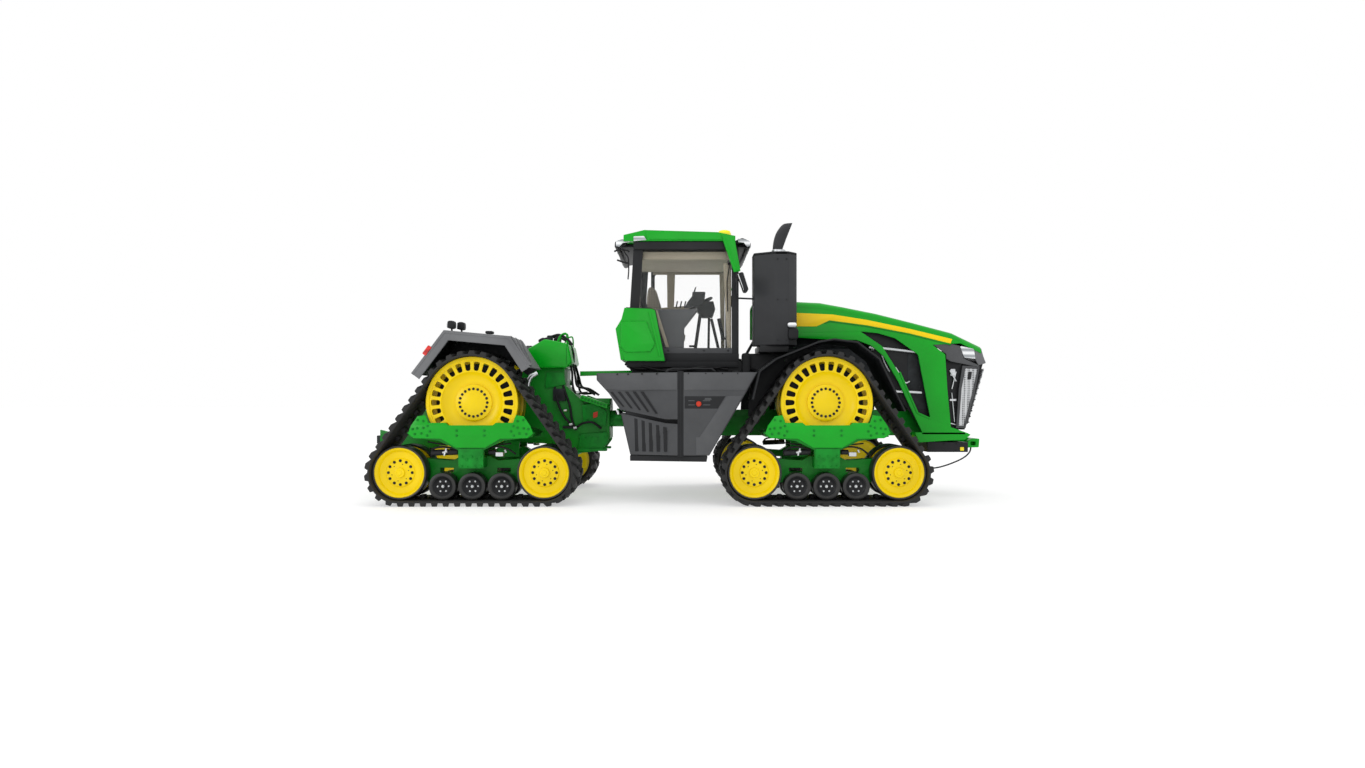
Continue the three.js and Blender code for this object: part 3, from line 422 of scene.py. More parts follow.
GREEN = Enamel("green_enamel", "05a41f", "green", 0.3, deep="049318")
FRAME_GREEN = Enamel("frame_green_enamel", "05851d", "dark_green", 0.42, deep="046716", coat=0.05)
YELLOW = Enamel("yellow_enamel", "f2d200", "yellow", 0.3, deep="e6c600")
STRIPE = Enamel("yellow_stripe_enamel", "f8d400", "yellow", 0.3, deep="f2cb00")
BLACK_PAINT = Enamel("black_frame_enamel", "222325", "black", 0.45, deep="1a1b1d", coat=0.05)
STACK_PAINT = Enamel("stack_heatproof_enamel", "37383a", "black", 0.5, deep="2d2e30", coat=0.0)
GREY_PANEL = MouldedPlastic("charcoal_moulded_panel", "434446", "charcoal", 0.62, pale="4b4c4e")
# Lighter charcoal: the nose corner panels' own colour, and on the tank covers a painted highlight on the top
# band and the front facet.
FENDER_DARK = MouldedPlastic("charcoal_raised_panel", "4d4e50", "charcoal", 0.6, pale="565759")
FENDER_GREY = MouldedPlastic("grey_moulded_fender", "646567", "charcoal", 0.6, pale="737476")
BLACK_PLASTIC = MouldedPlastic("black_moulded_plastic", "1b1c1e", "black", 0.5, pale="242527")
TRIM = MouldedPlastic("warm_grey_cab_trim", "8d8574", "seat_fabric", 0.7, pale="9a9280")
HEADLINER = MouldedPlastic("headliner_board", "b0a795", "seat_fabric", 0.8, pale="bbb2a1")
BELT = BeltRubber("belt_rubber", "2b2a2c", "belt_rubber", 0.8, dust="424143")
TYRE = BeltRubber("roller_rubber", "19191b", "roller_rubber", 0.65, dust="29292b")
HOSE = BeltRubber("hydraulic_hose_rubber", "111113", "roller_rubber", 0.45, dust="1c1c1e")
PLATED = Metal("zinc_plated_steel", "b4b7ba", "rod_steel", 0.32)
CHROME = Metal("chromed_rod", "c8cacd", "rod_steel", 0.12, pale="e4e6e8")
DARK_BOLT = Metal("phosphated_bolt", "2a2a2c", "rod_steel", 0.5, pale="3c3c3e")
CAST = Casting("painted_casting", "2b2f32", "cast", 0.55)
GREEN_CAST = Casting("green_painted_casting", "0c8a27", "dark_green", 0.5, deep="076a1c")
GLASS = Glazing("cab_glass", "f2f6f5", "glass", 0.05)
CLOTH = Woven("seat_cloth", "9a9280", "seat_fabric", 0.9)
PUNCHED = PunchedSheet("punched_grille_sheet", "c9cbcd", "rod_steel", 0.45)
LAMP = Lens("clear_lamp_lens", "f4f6f8", "glass", 0.12)
BEACON = Lens("beacon_dome", "fff200", "glass", 0.2, dark="f2dc00")
RED = Lens("red_lamp_lens", "d8281c", "glass", 0.25, dark="a31710")
CAP_RED = MouldedPlastic("red_filler_cap", "b5321f", "charcoal", 0.4, pale="c23c28")
MIRROR = Metal("mirror_glass", "d5d9dc", "rod_steel", 0.06, pale="e8ecee")


# ------------------------------------------------------------------ shaping


def pairs(*millimetres: float) -> list[Point]:
    """Points in metres from a run of two coordinates each, in millimetres."""
    return [(a / 1000, b / 1000) for a, b in zip(millimetres[::2], millimetres[1::2])]


def triples(*millimetres: float) -> list[Place]:
    """Places in metres from a run of X, Y and Z each, in millimetres."""
    return [(a / 1000, b / 1000, c / 1000) for a, b, c in zip(*(millimetres[k::3] for k in range(3)))]


def evaluated(holder: Object) -> Mesh:
    """The mesh that an object's curve or modifiers make."""
    graph = bpy.context.evaluated_depsgraph_get()
    return bpy.data.meshes.new_from_object(holder.evaluated_get(graph))


def placed(name: str, data: bpy.types.ID) -> Object:
    """A new object in the scene."""
    made = bpy.data.objects.new(name, data)
    bpy.context.scene.collection.objects.link(made)
    return made


def moved(mesh: Mesh, matrix: Matrix) -> Mesh:
    """Puts a mesh somewhere else, with its faces still outwards."""
    mesh.transform(matrix)
    if matrix.determinant() < 0:
        mesh.flip_normals()
    return mesh


def mesh_from(build: bmesh.types.BMesh) -> Mesh:
    """Closes a bmesh into a mesh with merged doubles and outward faces."""
    bmesh.ops.remove_doubles(build, verts=build.verts, dist=1e-5)
    bmesh.ops.recalc_face_normals(build, faces=build.faces)
    mesh = bpy.data.meshes.new("part")
    build.to_mesh(mesh)
    build.free()
    return mesh


def joined(meshes: Iterable[Mesh]) -> Mesh:
    """Puts several meshes into one, keeping each one's first material index at 0."""
    build = bmesh.new()
    for mesh in meshes:
        build.from_mesh(mesh)
        bpy.data.meshes.remove(mesh)
    whole = bpy.data.meshes.new("part")
    build.to_mesh(whole)
    build.free()
    return whole


def rounded(outline: Outline, radius: float, steps: int = 4) -> list[Point]:
    """Rounds every corner of a closed outline.

    Args:
        outline: The corner points.
        radius: The wanted radius, cut down where an edge is short.
        steps: Straight steps in each corner.

    Returns:
        The outline with arcs at its corners.
    """
    points = [Vector(p) for p in outline]
    result: list[Point] = []
    for i, corner in enumerate(points):
        before = points[i - 1] - corner
        after = points[(i + 1) % len(points)] - corner
        reach = min(radius, before.length * 0.45, after.length * 0.45)
        a = corner + before.normalized() * reach
        b = corner + after.normalized() * reach
        for k in range(steps + 1):
            t = k / steps
            result.append(tuple((1 - t) ** 2 * a + 2 * t * (1 - t) * corner + t**2 * b))
    return result


def circle(radius: float, centre: Point = (0.0, 0.0), sides: int = 48) -> list[Point]:
    """Points round a circle."""
    return [
        (
            centre[0] + radius * math.cos(k * math.tau / sides),
            centre[1] + radius * math.sin(k * math.tau / sides),
        )
        for k in range(sides)
    ]


def plate(
    outline: Outline,
    low: float,
    high: float,
    plane: Plane = Plane.SIDE,
    holes: Sequence[Outline] = (),
    bevel: float = 0.004,
) -> Mesh:
    """A flat sheet or block with softened edges, with holes through it.

    Args:
        outline: The outer edge.
        low: Where its thickness starts.
        high: Where its thickness ends.
        plane: How it stands.
        holes: Edges of the openings.
        bevel: Radius of the softened edges.

    Returns:
        A closed mesh in place.
    """
    curve = bpy.data.curves.new("sheet", "CURVE")
    curve.dimensions = "2D"
    curve.fill_mode = "BOTH"
    edge = min(bevel, (high - low) * 0.45)
    curve.extrude = (high - low) / 2 - edge
    curve.bevel_depth = edge
    curve.bevel_resolution = 1
    curve.offset = -edge
    for loop in (outline, *holes):
        spline = curve.splines.new("POLY")
        spline.points.add(len(loop) - 1)
        for point, (u, v) in zip(spline.points, loop):
            point.co = (u, v, 0, 1)
        spline.use_cyclic_u = True
    holder = placed("sheet", curve)
    flat = evaluated(holder)
    bpy.data.objects.remove(holder)
    bpy.data.curves.remove(curve)
    build = bmesh.new()
    build.from_mesh(flat)
    bpy.data.meshes.remove(flat)
    u, v, w = (Vector(axis) for axis in plane.value)
    middle = (low + high) / 2
    frame_matrix = Matrix((u, v, w)).transposed().to_4x4()
    frame_matrix.translation = w * middle
    build.transform(frame_matrix)
    return mesh_from(build)


def block(low: Coords, high: Coords, bevel: float = 0.006) -> Mesh:
    """A box between two corners with rounded edges."""
    outline = [(low[0], low[2]), (high[0], low[2]), (high[0], high[2]), (low[0], high[2])]
    return plate(rounded(outline, bevel * 2, 2), low[1], high[1], bevel=bevel)


def lathe(profile: Outline, centre: Coords, sides: int = 64, axis: str = "Y") -> Mesh:
    """Turns a closed profile of (radius, distance) points about an axis.

    Args:
        profile: Points from one end of the axis to the other, round the outside.
        centre: The axis's origin.
        sides: Steps round the axis.
        axis: X, Y or Z.

    Returns:
        A closed mesh in place.
    """
    build = bmesh.new()
    rings = []
    for radius, along in profile:
        count = 1 if radius < 1e-6 else sides
        rings.append(
            [
                build.verts.new(
                    (radius * math.cos(k * math.tau / sides), along, radius * math.sin(k * math.tau / sides))
                )
                for k in range(count)
            ]
        )
    closed = profile[0][0] > 1e-6
    strips = list(zip(rings, rings[1:])) + ([(rings[-1], rings[0])] if closed else [])
    for a, b in strips:
        for k in range(sides):
            quad = [a[k % len(a)], a[(k + 1) % len(a)], b[(k + 1) % len(b)], b[k % len(b)]]
            corners = list(dict.fromkeys(quad))
            if len(corners) > 2:
                build.faces.new(corners)
    turn = {
        "X": Matrix.Rotation(-math.pi / 2, 4, "Z"), "Y": Matrix.Identity(4),
        "Z": Matrix.Rotation(math.pi / 2, 4, "X"),
    }
    build.transform(Matrix.Translation(centre) @ turn[axis])
    return mesh_from(build)


def rod(start: Coords, end: Coords, radius: float, sides: int = 20) -> Mesh:
    """A round bar with chamfered ends between two points."""
    a, b = Vector(start), Vector(end)
    length = (b - a).length
    edge = min(radius * 0.2, length * 0.2)
    bar = lathe(
        [
            (0, 0), (radius - edge, 0), (radius, edge), (radius, length - edge), (radius - edge, length),
            (0, length),
        ],
        (0, 0, 0), sides,
    )
    turn = Vector((0, 1, 0)).rotation_difference((b - a).normalized()).to_matrix().to_4x4()
    return moved(bar, Matrix.Translation(a) @ turn)


def piece(
    name: str,
    mesh: Mesh,
    finish: Finish,
    body: str,
    replaces: Sequence[str] = (),
    smooth: float = 35.0,
) -> Object:
    """Puts a finished mesh into the scene on its body.

    Args:
        name: The piece's plain name.
        mesh: Its mesh, in place.
        finish: What it is made of.
        body: The body that carries it.
        replaces: CAD nodes that it stands for.
        smooth: Edges flatter than this many degrees are shaded smooth.

    Returns:
        The new object.
    """
    mesh.name = name
    made = placed(name, mesh)
    if not mesh.materials:
        mesh.materials.append(finish.material())
    mesh.shade_smooth()
    mesh.set_sharp_from_angle(angle=math.radians(smooth))
    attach(made, body)
    for node_name in replaces:
        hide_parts(node_name)
    LOG.info("%s on %s: %d faces", name, body, len(mesh.polygons))
    return made


def softened(node_name: str, bevel: float) -> Mesh:
    """A CAD node's shape with its doubles merged, its flats joined and its edges rounded.

    Args:
        node_name: The node to copy.
        bevel: The edges' radius.

    Returns:
        A new mesh in place.
    """
    build = bmesh.new()
    build.from_mesh(frame["nodes"][node_name].data)
    bmesh.ops.remove_doubles(build, verts=build.verts, dist=1e-4)
    bmesh.ops.dissolve_limit(build, angle_limit=math.radians(1.5), verts=build.verts, edges=build.edges)
    sharp = [e for e in build.edges if e.is_manifold and e.calc_face_angle(0) > math.radians(24)]
    bmesh.ops.bevel(
        build, geom=sharp, offset=bevel, segments=2, affect="EDGES", profile=0.5, clamp_overlap=True,
        offset_type="OFFSET",
    )
    mesh = bpy.data.meshes.new("part")
    build.to_mesh(mesh)
    build.free()
    return mesh


# ------------------------------------------------------------------ repeated things


class ShapeTree:
    """A Geometry Nodes tree that makes copies or sweeps from a holder's own mesh."""

    name: str
    given_name: str
    kinds: dict[str, str]

    def __init__(self) -> None:
        """Builds the tree with its named inputs."""
        tree = bpy.data.node_groups.new(self.name, "GeometryNodeTree")
        sockets = tree.interface
        sockets.new_socket(self.given_name, in_out="INPUT", socket_type="NodeSocketGeometry")
        self.keys = {
            label: sockets.new_socket(label, in_out="INPUT", socket_type=f"NodeSocket{kind}").identifier
            for label, kind in {**self.kinds, "Finish": "Material"}.items()
        }
        sockets.new_socket("Result", in_out="OUTPUT", socket_type="NodeSocketGeometry")
        given = add(tree, "NodeGroupInput")
        real = add(tree, "GeometryNodeRealizeInstances", {"Geometry": self.shape(tree, given)})
        finish = {"Geometry": real.outputs["Geometry"], "Material": given.outputs["Finish"]}
        coloured = add(tree, "GeometryNodeSetMaterial", finish)
        add(tree, "NodeGroupOutput", {"Result": coloured.outputs["Geometry"]})
        self.tree = tree

    def shape(self, tree: NodeTree, given: Node) -> NodeSocket:
        """The nodes that make the shape, from the group's inputs to one geometry socket."""
        raise NotImplementedError

    def applied(self, holder: Object, values: dict[str, object]) -> Mesh:
        """Runs the tree on a holder and removes the holder.

        Args:
            holder: The object whose mesh is the tree's first input.
            values: The other inputs by name.

        Returns:
            The mesh that the tree makes.
        """
        modifier = holder.modifiers.new(self.name, "NODES")
        modifier.node_group = self.tree
        for label, value in values.items():
            modifier[self.keys[label]] = value
        result = evaluated(holder)
        given = holder.data
        bpy.data.objects.remove(holder)
        bpy.data.meshes.remove(given)
        return result


class Repeater(ShapeTree):
    """Sets one shape on every point of a cloud, each turned by its own angles."""

    name = "repeat_on_points"
    given_name = "Points"
    kinds = {"Template": "Object", "Size": "Float"}

    def shape(self, tree: NodeTree, given: Node) -> NodeSocket:
        """Copies of the template."""
        shape = add(tree, "GeometryNodeObjectInfo", {"Object": given.outputs["Template"]})
        turn = add(tree, "GeometryNodeInputNamedAttribute", {"Name": "turn"}, data_type="FLOAT_VECTOR")
        copies = add(
            tree, "GeometryNodeInstanceOnPoints",
            {
                "Points": given.outputs["Points"], "Instance": shape.outputs["Geometry"],
                "Rotation": turn.outputs["Attribute"], "Scale": given.outputs["Size"],
            },
        )
        return copies.outputs["Instances"]

    def run(
        self,
        template: Mesh,
        spots: Sequence[tuple[Coords, Coords]],
        finish: Finish,
        size: float = 1.0,
    ) -> Mesh:
        """Sets the template on each spot.

        Args:
            template: The repeated shape, at the origin.
            spots: Pairs of a position and three turn angles.
            finish: What the copies are made of.
            size: Their scale.

        Returns:
            One plain mesh of all the copies.
        """
        cloud = bpy.data.meshes.new("cloud")
        cloud.from_pydata([place for place, _ in spots], [], [])
        turns = cloud.attributes.new("turn", "FLOAT_VECTOR", "POINT")
        for item, (_, angles) in zip(turns.data, spots):
            item.vector = angles
        shape = placed("template", template)
        holder = placed("cloud", cloud)
        values = {"Template": shape, "Size": size, "Finish": finish.material()}
        result = self.applied(holder, values)
        bpy.data.objects.remove(shape)
        bpy.data.meshes.remove(template)
        if "turn" in result.attributes:
            result.attributes.remove(result.attributes["turn"])
        return result


class Hose(ShapeTree):
    """Sweeps a round section along a path, for hoses, rails and pipes."""

    name = "round_sweep"
    given_name = "Path"
    kinds = {"Radius": "Float", "Sides": "Int"}

    def shape(self, tree: NodeTree, given: Node) -> NodeSocket:
        """The swept skin with its caps."""
        line = add(tree, "GeometryNodeMeshToCurve", {"Mesh": given.outputs["Path"]})
        section = add(
            tree, "GeometryNodeCurvePrimitiveCircle",
            {"Resolution": given.outputs["Sides"], "Radius": given.outputs["Radius"]},
        )
        skin = add(
            tree, "GeometryNodeCurveToMesh",
            {"Curve": line.outputs["Curve"], "Profile Curve": section.outputs["Curve"], "Fill Caps": True},
        )
        return skin.outputs["Mesh"]

    def run(self, points: Sequence[Coords], radius: float, finish: Finish, sides: int = 12) -> Mesh:
        """Sweeps a section along a smooth line through the points.

        Args:
            points: Where the line goes.
            radius: The section's radius.
            finish: What it is made of.
            sides: Sides of the section.

        Returns:
            One plain closed mesh.
        """
        route = smooth_line(points)
        path = bpy.data.meshes.new("path")
        path.from_pydata(route, [(k, k + 1) for k in range(len(route) - 1)], [])
        holder = placed("path", path)
        values = {"Radius": radius, "Sides": sides, "Finish": finish.material()}
        result = self.applied(holder, values)
        build = bmesh.new()
        build.from_mesh(result)
        bmesh.ops.recalc_face_normals(build, faces=build.faces)
        build.to_mesh(result)
        build.free()
        return result


def smooth_line(points: Sequence[Coords], steps: int = 6) -> list[Vector]:
    """A line that passes smoothly through each point.

    Args:
        points: Two or more places.
        steps: Straight steps between two of them.

    Returns:
        The line's points.
    """
    given = [Vector(p) for p in points]
    if len(given) < 3:
        return given
    ends = [2 * given[0] - given[1], *given, 2 * given[-1] - given[-2]]
    line = []
    for a, b, c, d in zip(ends, ends[1:], ends[2:], ends[3:]):
        for k in range(steps):
            t = k / steps
            line.append(
                0.5 * (
                    (2 * b) + (c - a) * t + (2 * a - 5 * b + 4 * c - d) * t**2
                    + (3 * b - a - 3 * c + d) * t**3
                )
            )
    return [*line, given[-1]]


REPEAT = Repeater()
SWEEP = Hose()


def bolt_head(radius: float = 0.016) -> Mesh:
    """A hexagon bolt head on a washer, standing out along -Y from the origin."""
    washer = lathe(
        [(0, 0), (radius * 1.35, 0), (radius * 1.35, -radius * 0.22), (0, -radius * 0.22)], (0, 0, 0), 14
    )
    head = lathe(
        [(0, 0), (radius, 0), (radius, -radius * 0.75), (radius * 0.85, -radius * 0.95), (0, -radius * 0.95)],
        (0, 0, 0), 6,
    )
    return joined([washer, head])


def bolts(
    name: str,
    spots: Sequence[Coords],
    body: str,
    radius: float = 0.016,
    finish: Finish = DARK_BOLT,
    side: Side = Side.RIGHT,
) -> Object:
    """Bolt heads that face away from the machine's middle.

    Args:
        name: The piece's name.
        spots: Where each head seats.
        body: The body that carries them.
        radius: The head's radius.
        finish: What they are made of.
        side: The side that they face.

    Returns:
        One piece of all the heads.
    """
    turn = (0.0, 0.0, 0.0 if side is Side.RIGHT else math.pi)
    made = REPEAT.run(bolt_head(radius), [(spot, turn) for spot in spots], finish)
    return piece(name, made, finish, body)


def mirrored(mesh: Mesh, side: Side) -> Mesh:
    """Turns a right-hand shape into the given side's."""
    if side is Side.LEFT:
        return moved(mesh, Matrix.Diagonal((1, -1, 1, 1)))
    return mesh


def recoloured(mesh: Mesh, base: Finish, zones: Sequence[tuple[Coords, Coords, Finish]]) -> Mesh:
    """Gives the faces inside some boxes their own finish.

    Args:
        mesh: The mesh to colour.
        base: The finish of every other face.
        zones: Lowest corner, highest corner and finish of each box; the first that fits counts.

    Returns:
        The same mesh.
    """
    mesh.materials.append(base.material())
    for _, _, finish in zones:
        mesh.materials.append(finish.material())
    for face in mesh.polygons:
        centre = face.center
        for index, (low, high, _) in enumerate(zones, 1):
            if all(low[k] <= centre[k] <= high[k] for k in range(3)):
                face.material_index = index
                break
    return mesh


def ring_of(count: int, radius: float, y: float, start: float = 0.0) -> list[tuple[float, float, float]]:
    """Evenly spaced places on a circle about Y."""
    return [
        (radius * math.sin(start + k * math.tau / count), y, radius * math.cos(start + k * math.tau / count))
        for k in range(count)
    ]


# ------------------------------------------------------------------ track units


@dataclass(frozen=True)
class BeltRun:
    """The loop that a belt follows round its drive wheel and two idlers, from the drive axle."""

    drive: float = 0.610
    idler: float = 0.363
    reach: float = 0.950
    drop: float = 0.922

    def outline(self, offset: float, step: float = 5.0) -> list[Point]:
        """The loop as corner points.

        Args:
            offset: Distance outside the belt's inner face.
            step: Degrees between points of an arc.

        Returns:
            A closed outline.
        """
        wheels = [
            (0.0, 0.0, self.drive), (-self.reach, -self.drop, self.idler),
            (self.reach, -self.drop, self.idler),
        ]
        normals = []
        for (ax, az, ar), (bx, bz, br) in zip(wheels, wheels[1:] + wheels[:1]):
            span = math.hypot(bx - ax, bz - az)
            normals.append(math.atan2(bz - az, bx - ax) - math.acos((ar - br) / span))
        points = []
        for i, (x, z, radius) in enumerate(wheels):
            turn = (normals[i] - normals[i - 1]) % math.tau
            count = math.ceil(math.degrees(turn) / step)
            for k in range(count + 1):
                angle = normals[i - 1] + turn * k / count
                points.append(
                    (x + (radius + offset) * math.cos(angle), z + (radius + offset) * math.sin(angle))
                )
        return points

    def stations(self, count: int, offset: float, shift: float = 0.0) -> list[tuple[tuple, tuple]]:
        """Even places along the loop.

        Args:
            count: How many.
            offset: Distance outside the belt's inner face.
            shift: The first one's place, as a share of the pitch.

        Returns:
            Pairs of a position and the turn that stands a shape up on the belt.
        """
        line = [Vector(p) for p in self.outline(offset, 1.5)]
        line.append(line[0])
        lengths = [(b - a).length for a, b in zip(line, line[1:])]
        pitch = sum(lengths) / count
        places = []
        for k in range(count):
            rest = (k + shift) * pitch % sum(lengths)
            i = 0
            while rest > lengths[i]:
                rest -= lengths[i]
                i += 1
            along = (line[i + 1] - line[i]).normalized()
            spot = line[i] + along * rest
            places.append(((spot.x, 0.0, spot.y), (0.0, math.pi / 2 - math.atan2(-along.x, along.y), 0.0)))
        return places


@dataclass
class TrackUnit:
    """One belted unit: undercarriage, drive wheel, two idlers, three rollers and the belt.

    Shapes are made for the right-hand side about the drive axle, outboard towards -Y.
    """

    end: End
    side: Side
    lugs: int = 50
    windows: int = 26
    belt: BeltRun = field(default_factory=BeltRun)
    half_width: float = 0.381
    skin: float = 0.027
    lug_height: float = 0.045
    lean: float = 0.105

    def __post_init__(self) -> None:
        """Finds the unit's place in the frame."""
        self.tag = f"{self.end.value}_{self.side.word}"
        low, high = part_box(f"belt_{self.tag}")
        wheel_low, wheel_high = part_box(f"drive_wheel_{self.tag}")
        self.origin = Vector(((low.x + high.x) / 2, (low.y + high.y) / 2, (wheel_low.z + wheel_high.z) / 2))

    def set_down(self, mesh: Mesh, x: float = 0.0, z: float = 0.0) -> Mesh:
        """Moves a shape made at a wheel's own axle to that axle, on this unit's side."""
        shift = Matrix.Translation(self.origin + Vector((x, 0, z)))
        return moved(mesh, shift @ Matrix.Diagonal((1, -self.side.value, 1, 1)))

    def heads(
        self,
        name: str,
        spots: Sequence[Coords],
        body: str,
        radius: float,
        finish: Finish,
        x: float = 0.0,
        z: float = 0.0,
    ) -> Object:
        """Bolt heads on an outboard face of the unit.

        Args:
            name: The piece's name.
            spots: Places about the axle at x and z.
            body: The body that carries them.
            radius: The head's radius.
            finish: What they are made of.
            x: The axle's X from the drive axle.
            z: The axle's Z from the drive axle.

        Returns:
            The piece.
        """
        made = REPEAT.run(bolt_head(radius), [(spot, (0.0, 0.0, 0.0)) for spot in spots], finish)
        return piece(name, self.set_down(made, x, z), finish, body)

    def half_lug(self, inward: int) -> Mesh:
        """One half of a chevron tread bar, from the belt's edge to near its middle.

        Args:
            inward: +1 for the outboard half, -1 for the inboard one.

        Returns:
            The bar with softened edges, standing on z = 0.
        """
        build = bmesh.new()
        edge, middle = -self.half_width, -0.025
        rows = [(edge, 0.0, 0.046, -0.004), (edge + 0.012, 0.003, 0.034, self.lug_height)]
        rows += [
            (middle, self.lean, 0.040, -0.004), (middle - 0.015, self.lean - 0.003, 0.028, self.lug_height)
        ]
        corners = []
        for y, x, half, z in rows:
            corners.append(
                [build.verts.new((x - half, y * inward, z)), build.verts.new((x + half, y * inward, z))]
            )
        a, b, c, d = corners
        for quad in (
            (a[0], a[1], b[1], b[0]), (c[1], c[0], d[0], d[1]), (b[0], b[1], d[1], d[0]),
            (a[1], a[0], c[0], c[1]), (a[0], b[0], d[0], c[0]), (b[1], a[1], c[1], d[1]),
        ):
            build.faces.new(quad)
        bmesh.ops.recalc_face_normals(build, faces=build.faces)
        bmesh.ops.bevel(build, geom=list(build.edges), offset=0.007, segments=2, affect="EDGES", profile=0.5)
        mesh = bpy.data.meshes.new("lug")
        build.to_mesh(mesh)
        build.free()
        return mesh

    def build_belt(self) -> None:
        """The carcass, its tread bars and the guide blocks that run between the wheels' discs."""
        carcass = plate(
            self.belt.outline(self.skin), -self.half_width, self.half_width, holes=[self.belt.outline(0.0)],
            bevel=0.009,
        )
        carcass.materials.append(BELT.material())
        parts = [carcass]
        for inward, shift in ((1, 0.0), (-1, 0.5)):
            spots = self.belt.stations(self.lugs, self.skin, shift)
            parts.append(REPEAT.run(self.half_lug(inward), spots, BELT))
        guide = block((-0.035, -0.06, -0.05), (0.035, 0.06, 0.004), 0.008)
        parts.append(REPEAT.run(guide, self.belt.stations(self.lugs, 0.0), BELT))
        piece(
            f"belt_with_lugs_{self.tag}", self.set_down(joined(parts)), BELT, f"track_{self.tag}",
            [f"belt_{self.tag}"],
        )

    def build_drive_wheel(self) -> None:
        """A grooved drum behind a dished disc with a ring of windows and a bolted hub."""
        rim = lathe(
            pairs(
                606, -279, 606, -85, 545, -75, 545, 75, 606, 85, 606, 270, 575, 270, 575, 105, 520, 90, 520,
                -95, 578, -115, 578, -250, 560, -262, 560, -280, 566, -285, 600, -285,
            ),
            (0, 0, 0), 96,
        )
        inner, outer, half = 0.422, 0.540, 0.037
        holes = [circle(0.405, sides=64)]
        for k in range(self.windows):
            angle = (k + 0.5) * math.tau / self.windows
            radial = Vector((math.sin(angle), math.cos(angle)))
            across = Vector((radial.y, -radial.x))
            corners = [
                radial * inner + across * half * 0.8, radial * outer + across * half * 1.1,
                radial * outer - across * half * 1.1, radial * inner - across * half * 0.8,
            ]
            holes.append(rounded([tuple(c) for c in corners], 0.024, 4))
        web = plate(circle(0.578, sides=96), -0.272, -0.250, holes=holes, bevel=0.004)
        dish = lathe(
            pairs(
                0, -212, 100, -212, 115, -206, 225, -203, 240, -196, 246, -172, 262, -168, 330, -190, 385,
                -236, 412, -271, 412, -250, 395, -230, 335, -176, 262, -154, 0, -154,
            ),
            (0, 0, 0), 96,
        )
        wheel = joined([rim, web, dish])
        body = f"drive_{self.tag}"
        piece(f"drive_wheel_disc_{self.tag}", self.set_down(wheel), YELLOW, body, [f"drive_wheel_{self.tag}"])
        # Painted shade, partly real: the black final drive disc reaches 515 mm behind the web so that the
        # windows show dark, as the shaded inside of the drum would.
        hub = lathe(
            pairs(0, -150, 300, -150, 515, -120, 515, -100, 185, -60, 185, 140, 0, 140), (0, 0, 0), 48
        )
        piece(f"final_drive_{self.tag}", self.set_down(hub), BLACK_PLASTIC, body)
        self.heads(f"drive_hub_bolts_{self.tag}", ring_of(20, 0.183, -0.2045), body, 0.0135, DARK_BOLT)

    def build_idler(self, place: str, x: float, z: float) -> None:
        """Two rubber-tyred discs on one axle.

        Args:
            place: "fore" or "aft".
            x: Its axle's X from the drive axle.
            z: Its axle's Z from the drive axle.
        """
        body = f"idler_{place}_{self.tag}"
        outer = lathe(
            pairs(
                0, -296, 28, -296, 36, -288, 62, -286, 70, -262, 120, -252, 180, -250, 195, -236, 275, -242,
                302, -288, 322, -299, 330, -292, 330, -108, 0, -108,
            ),
            (0, 0, 0), 80,
        )
        inner = lathe(pairs(0, 108, 330, 108, 330, 292, 300, 296, 250, 270, 0, 270), (0, 0, 0), 64)
        disc = joined([outer, inner])
        piece(f"idler_discs_{place}_{self.tag}", self.set_down(disc, x, z), YELLOW, body, [body])
        tyres = [
            lathe(
                [
                    (0.328, low + 0.006), (0.345, low), (0.354, low + 0.004), (0.358, low + 0.016),
                    (0.358, high - 0.016), (0.354, high - 0.004), (0.345, high), (0.328, high - 0.006),
                ],
                (0, 0, 0), 80,
            )
            for low, high in ((-0.299, -0.101), (0.101, 0.299))
        ]
        tyres.append(lathe(pairs(0, -110, 70, -110, 70, 110, 0, 110), (0, 0, 0), 32))
        piece(f"idler_tyres_{place}_{self.tag}", self.set_down(joined(tyres), x, z), TYRE, body)
        self.heads(
            f"idler_bolts_{place}_{self.tag}", ring_of(12, 0.157, -0.2505), body, 0.0145, DARK_BOLT, x, z
        )
        self.heads(
            f"idler_screws_{place}_{self.tag}", ring_of(6, 0.112, -0.2535, 0.26), body, 0.005, DARK_BOLT, x, z
        )

    def build_roller(self, number: int, x: float, z: float) -> None:
        """A small roller of two rubber-tyred discs.

        Args:
            number: 1 at the front, 3 at the back.
            x: Its axle's X from the drive axle.
            z: Its axle's Z from the drive axle.
        """
        body = f"midroller_{number}_{self.tag}"
        tyres = []
        for low, high in ((-0.298, -0.101), (0.101, 0.298)):
            tyres.append(
                lathe(
                    [
                        (0.128, low + 0.01), (0.140, low), (0.165, low), (0.176, low + 0.006),
                        (0.180, low + 0.02), (0.180, high - 0.02), (0.176, high - 0.006), (0.165, high),
                        (0.140, high), (0.128, high - 0.01),
                    ],
                    (0, 0, 0), 64,
                )
            )
        piece(f"roller_tyres_{number}_{self.tag}", self.set_down(joined(tyres), x, z), TYRE, body, [body])
        hub = lathe(
            pairs(
                0, -262, 36, -262, 44, -250, 95, -245, 112, -262, 130, -275, 130, -110, 55, -110, 55, 110,
                130, 110, 130, 275, 0, 262,
            ),
            (0, 0, 0), 48,
        )
        piece(f"roller_hub_{number}_{self.tag}", self.set_down(hub, x, z), BLACK_PAINT, body)
        self.heads(
            f"roller_bolts_{number}_{self.tag}", ring_of(6, 0.073, -0.2465, 0.5), body, 0.0085, PLATED, x, z
        )
        self.heads(f"roller_cap_{number}_{self.tag}", [(0, -0.262, 0)], body, 0.014, PLATED, x, z)

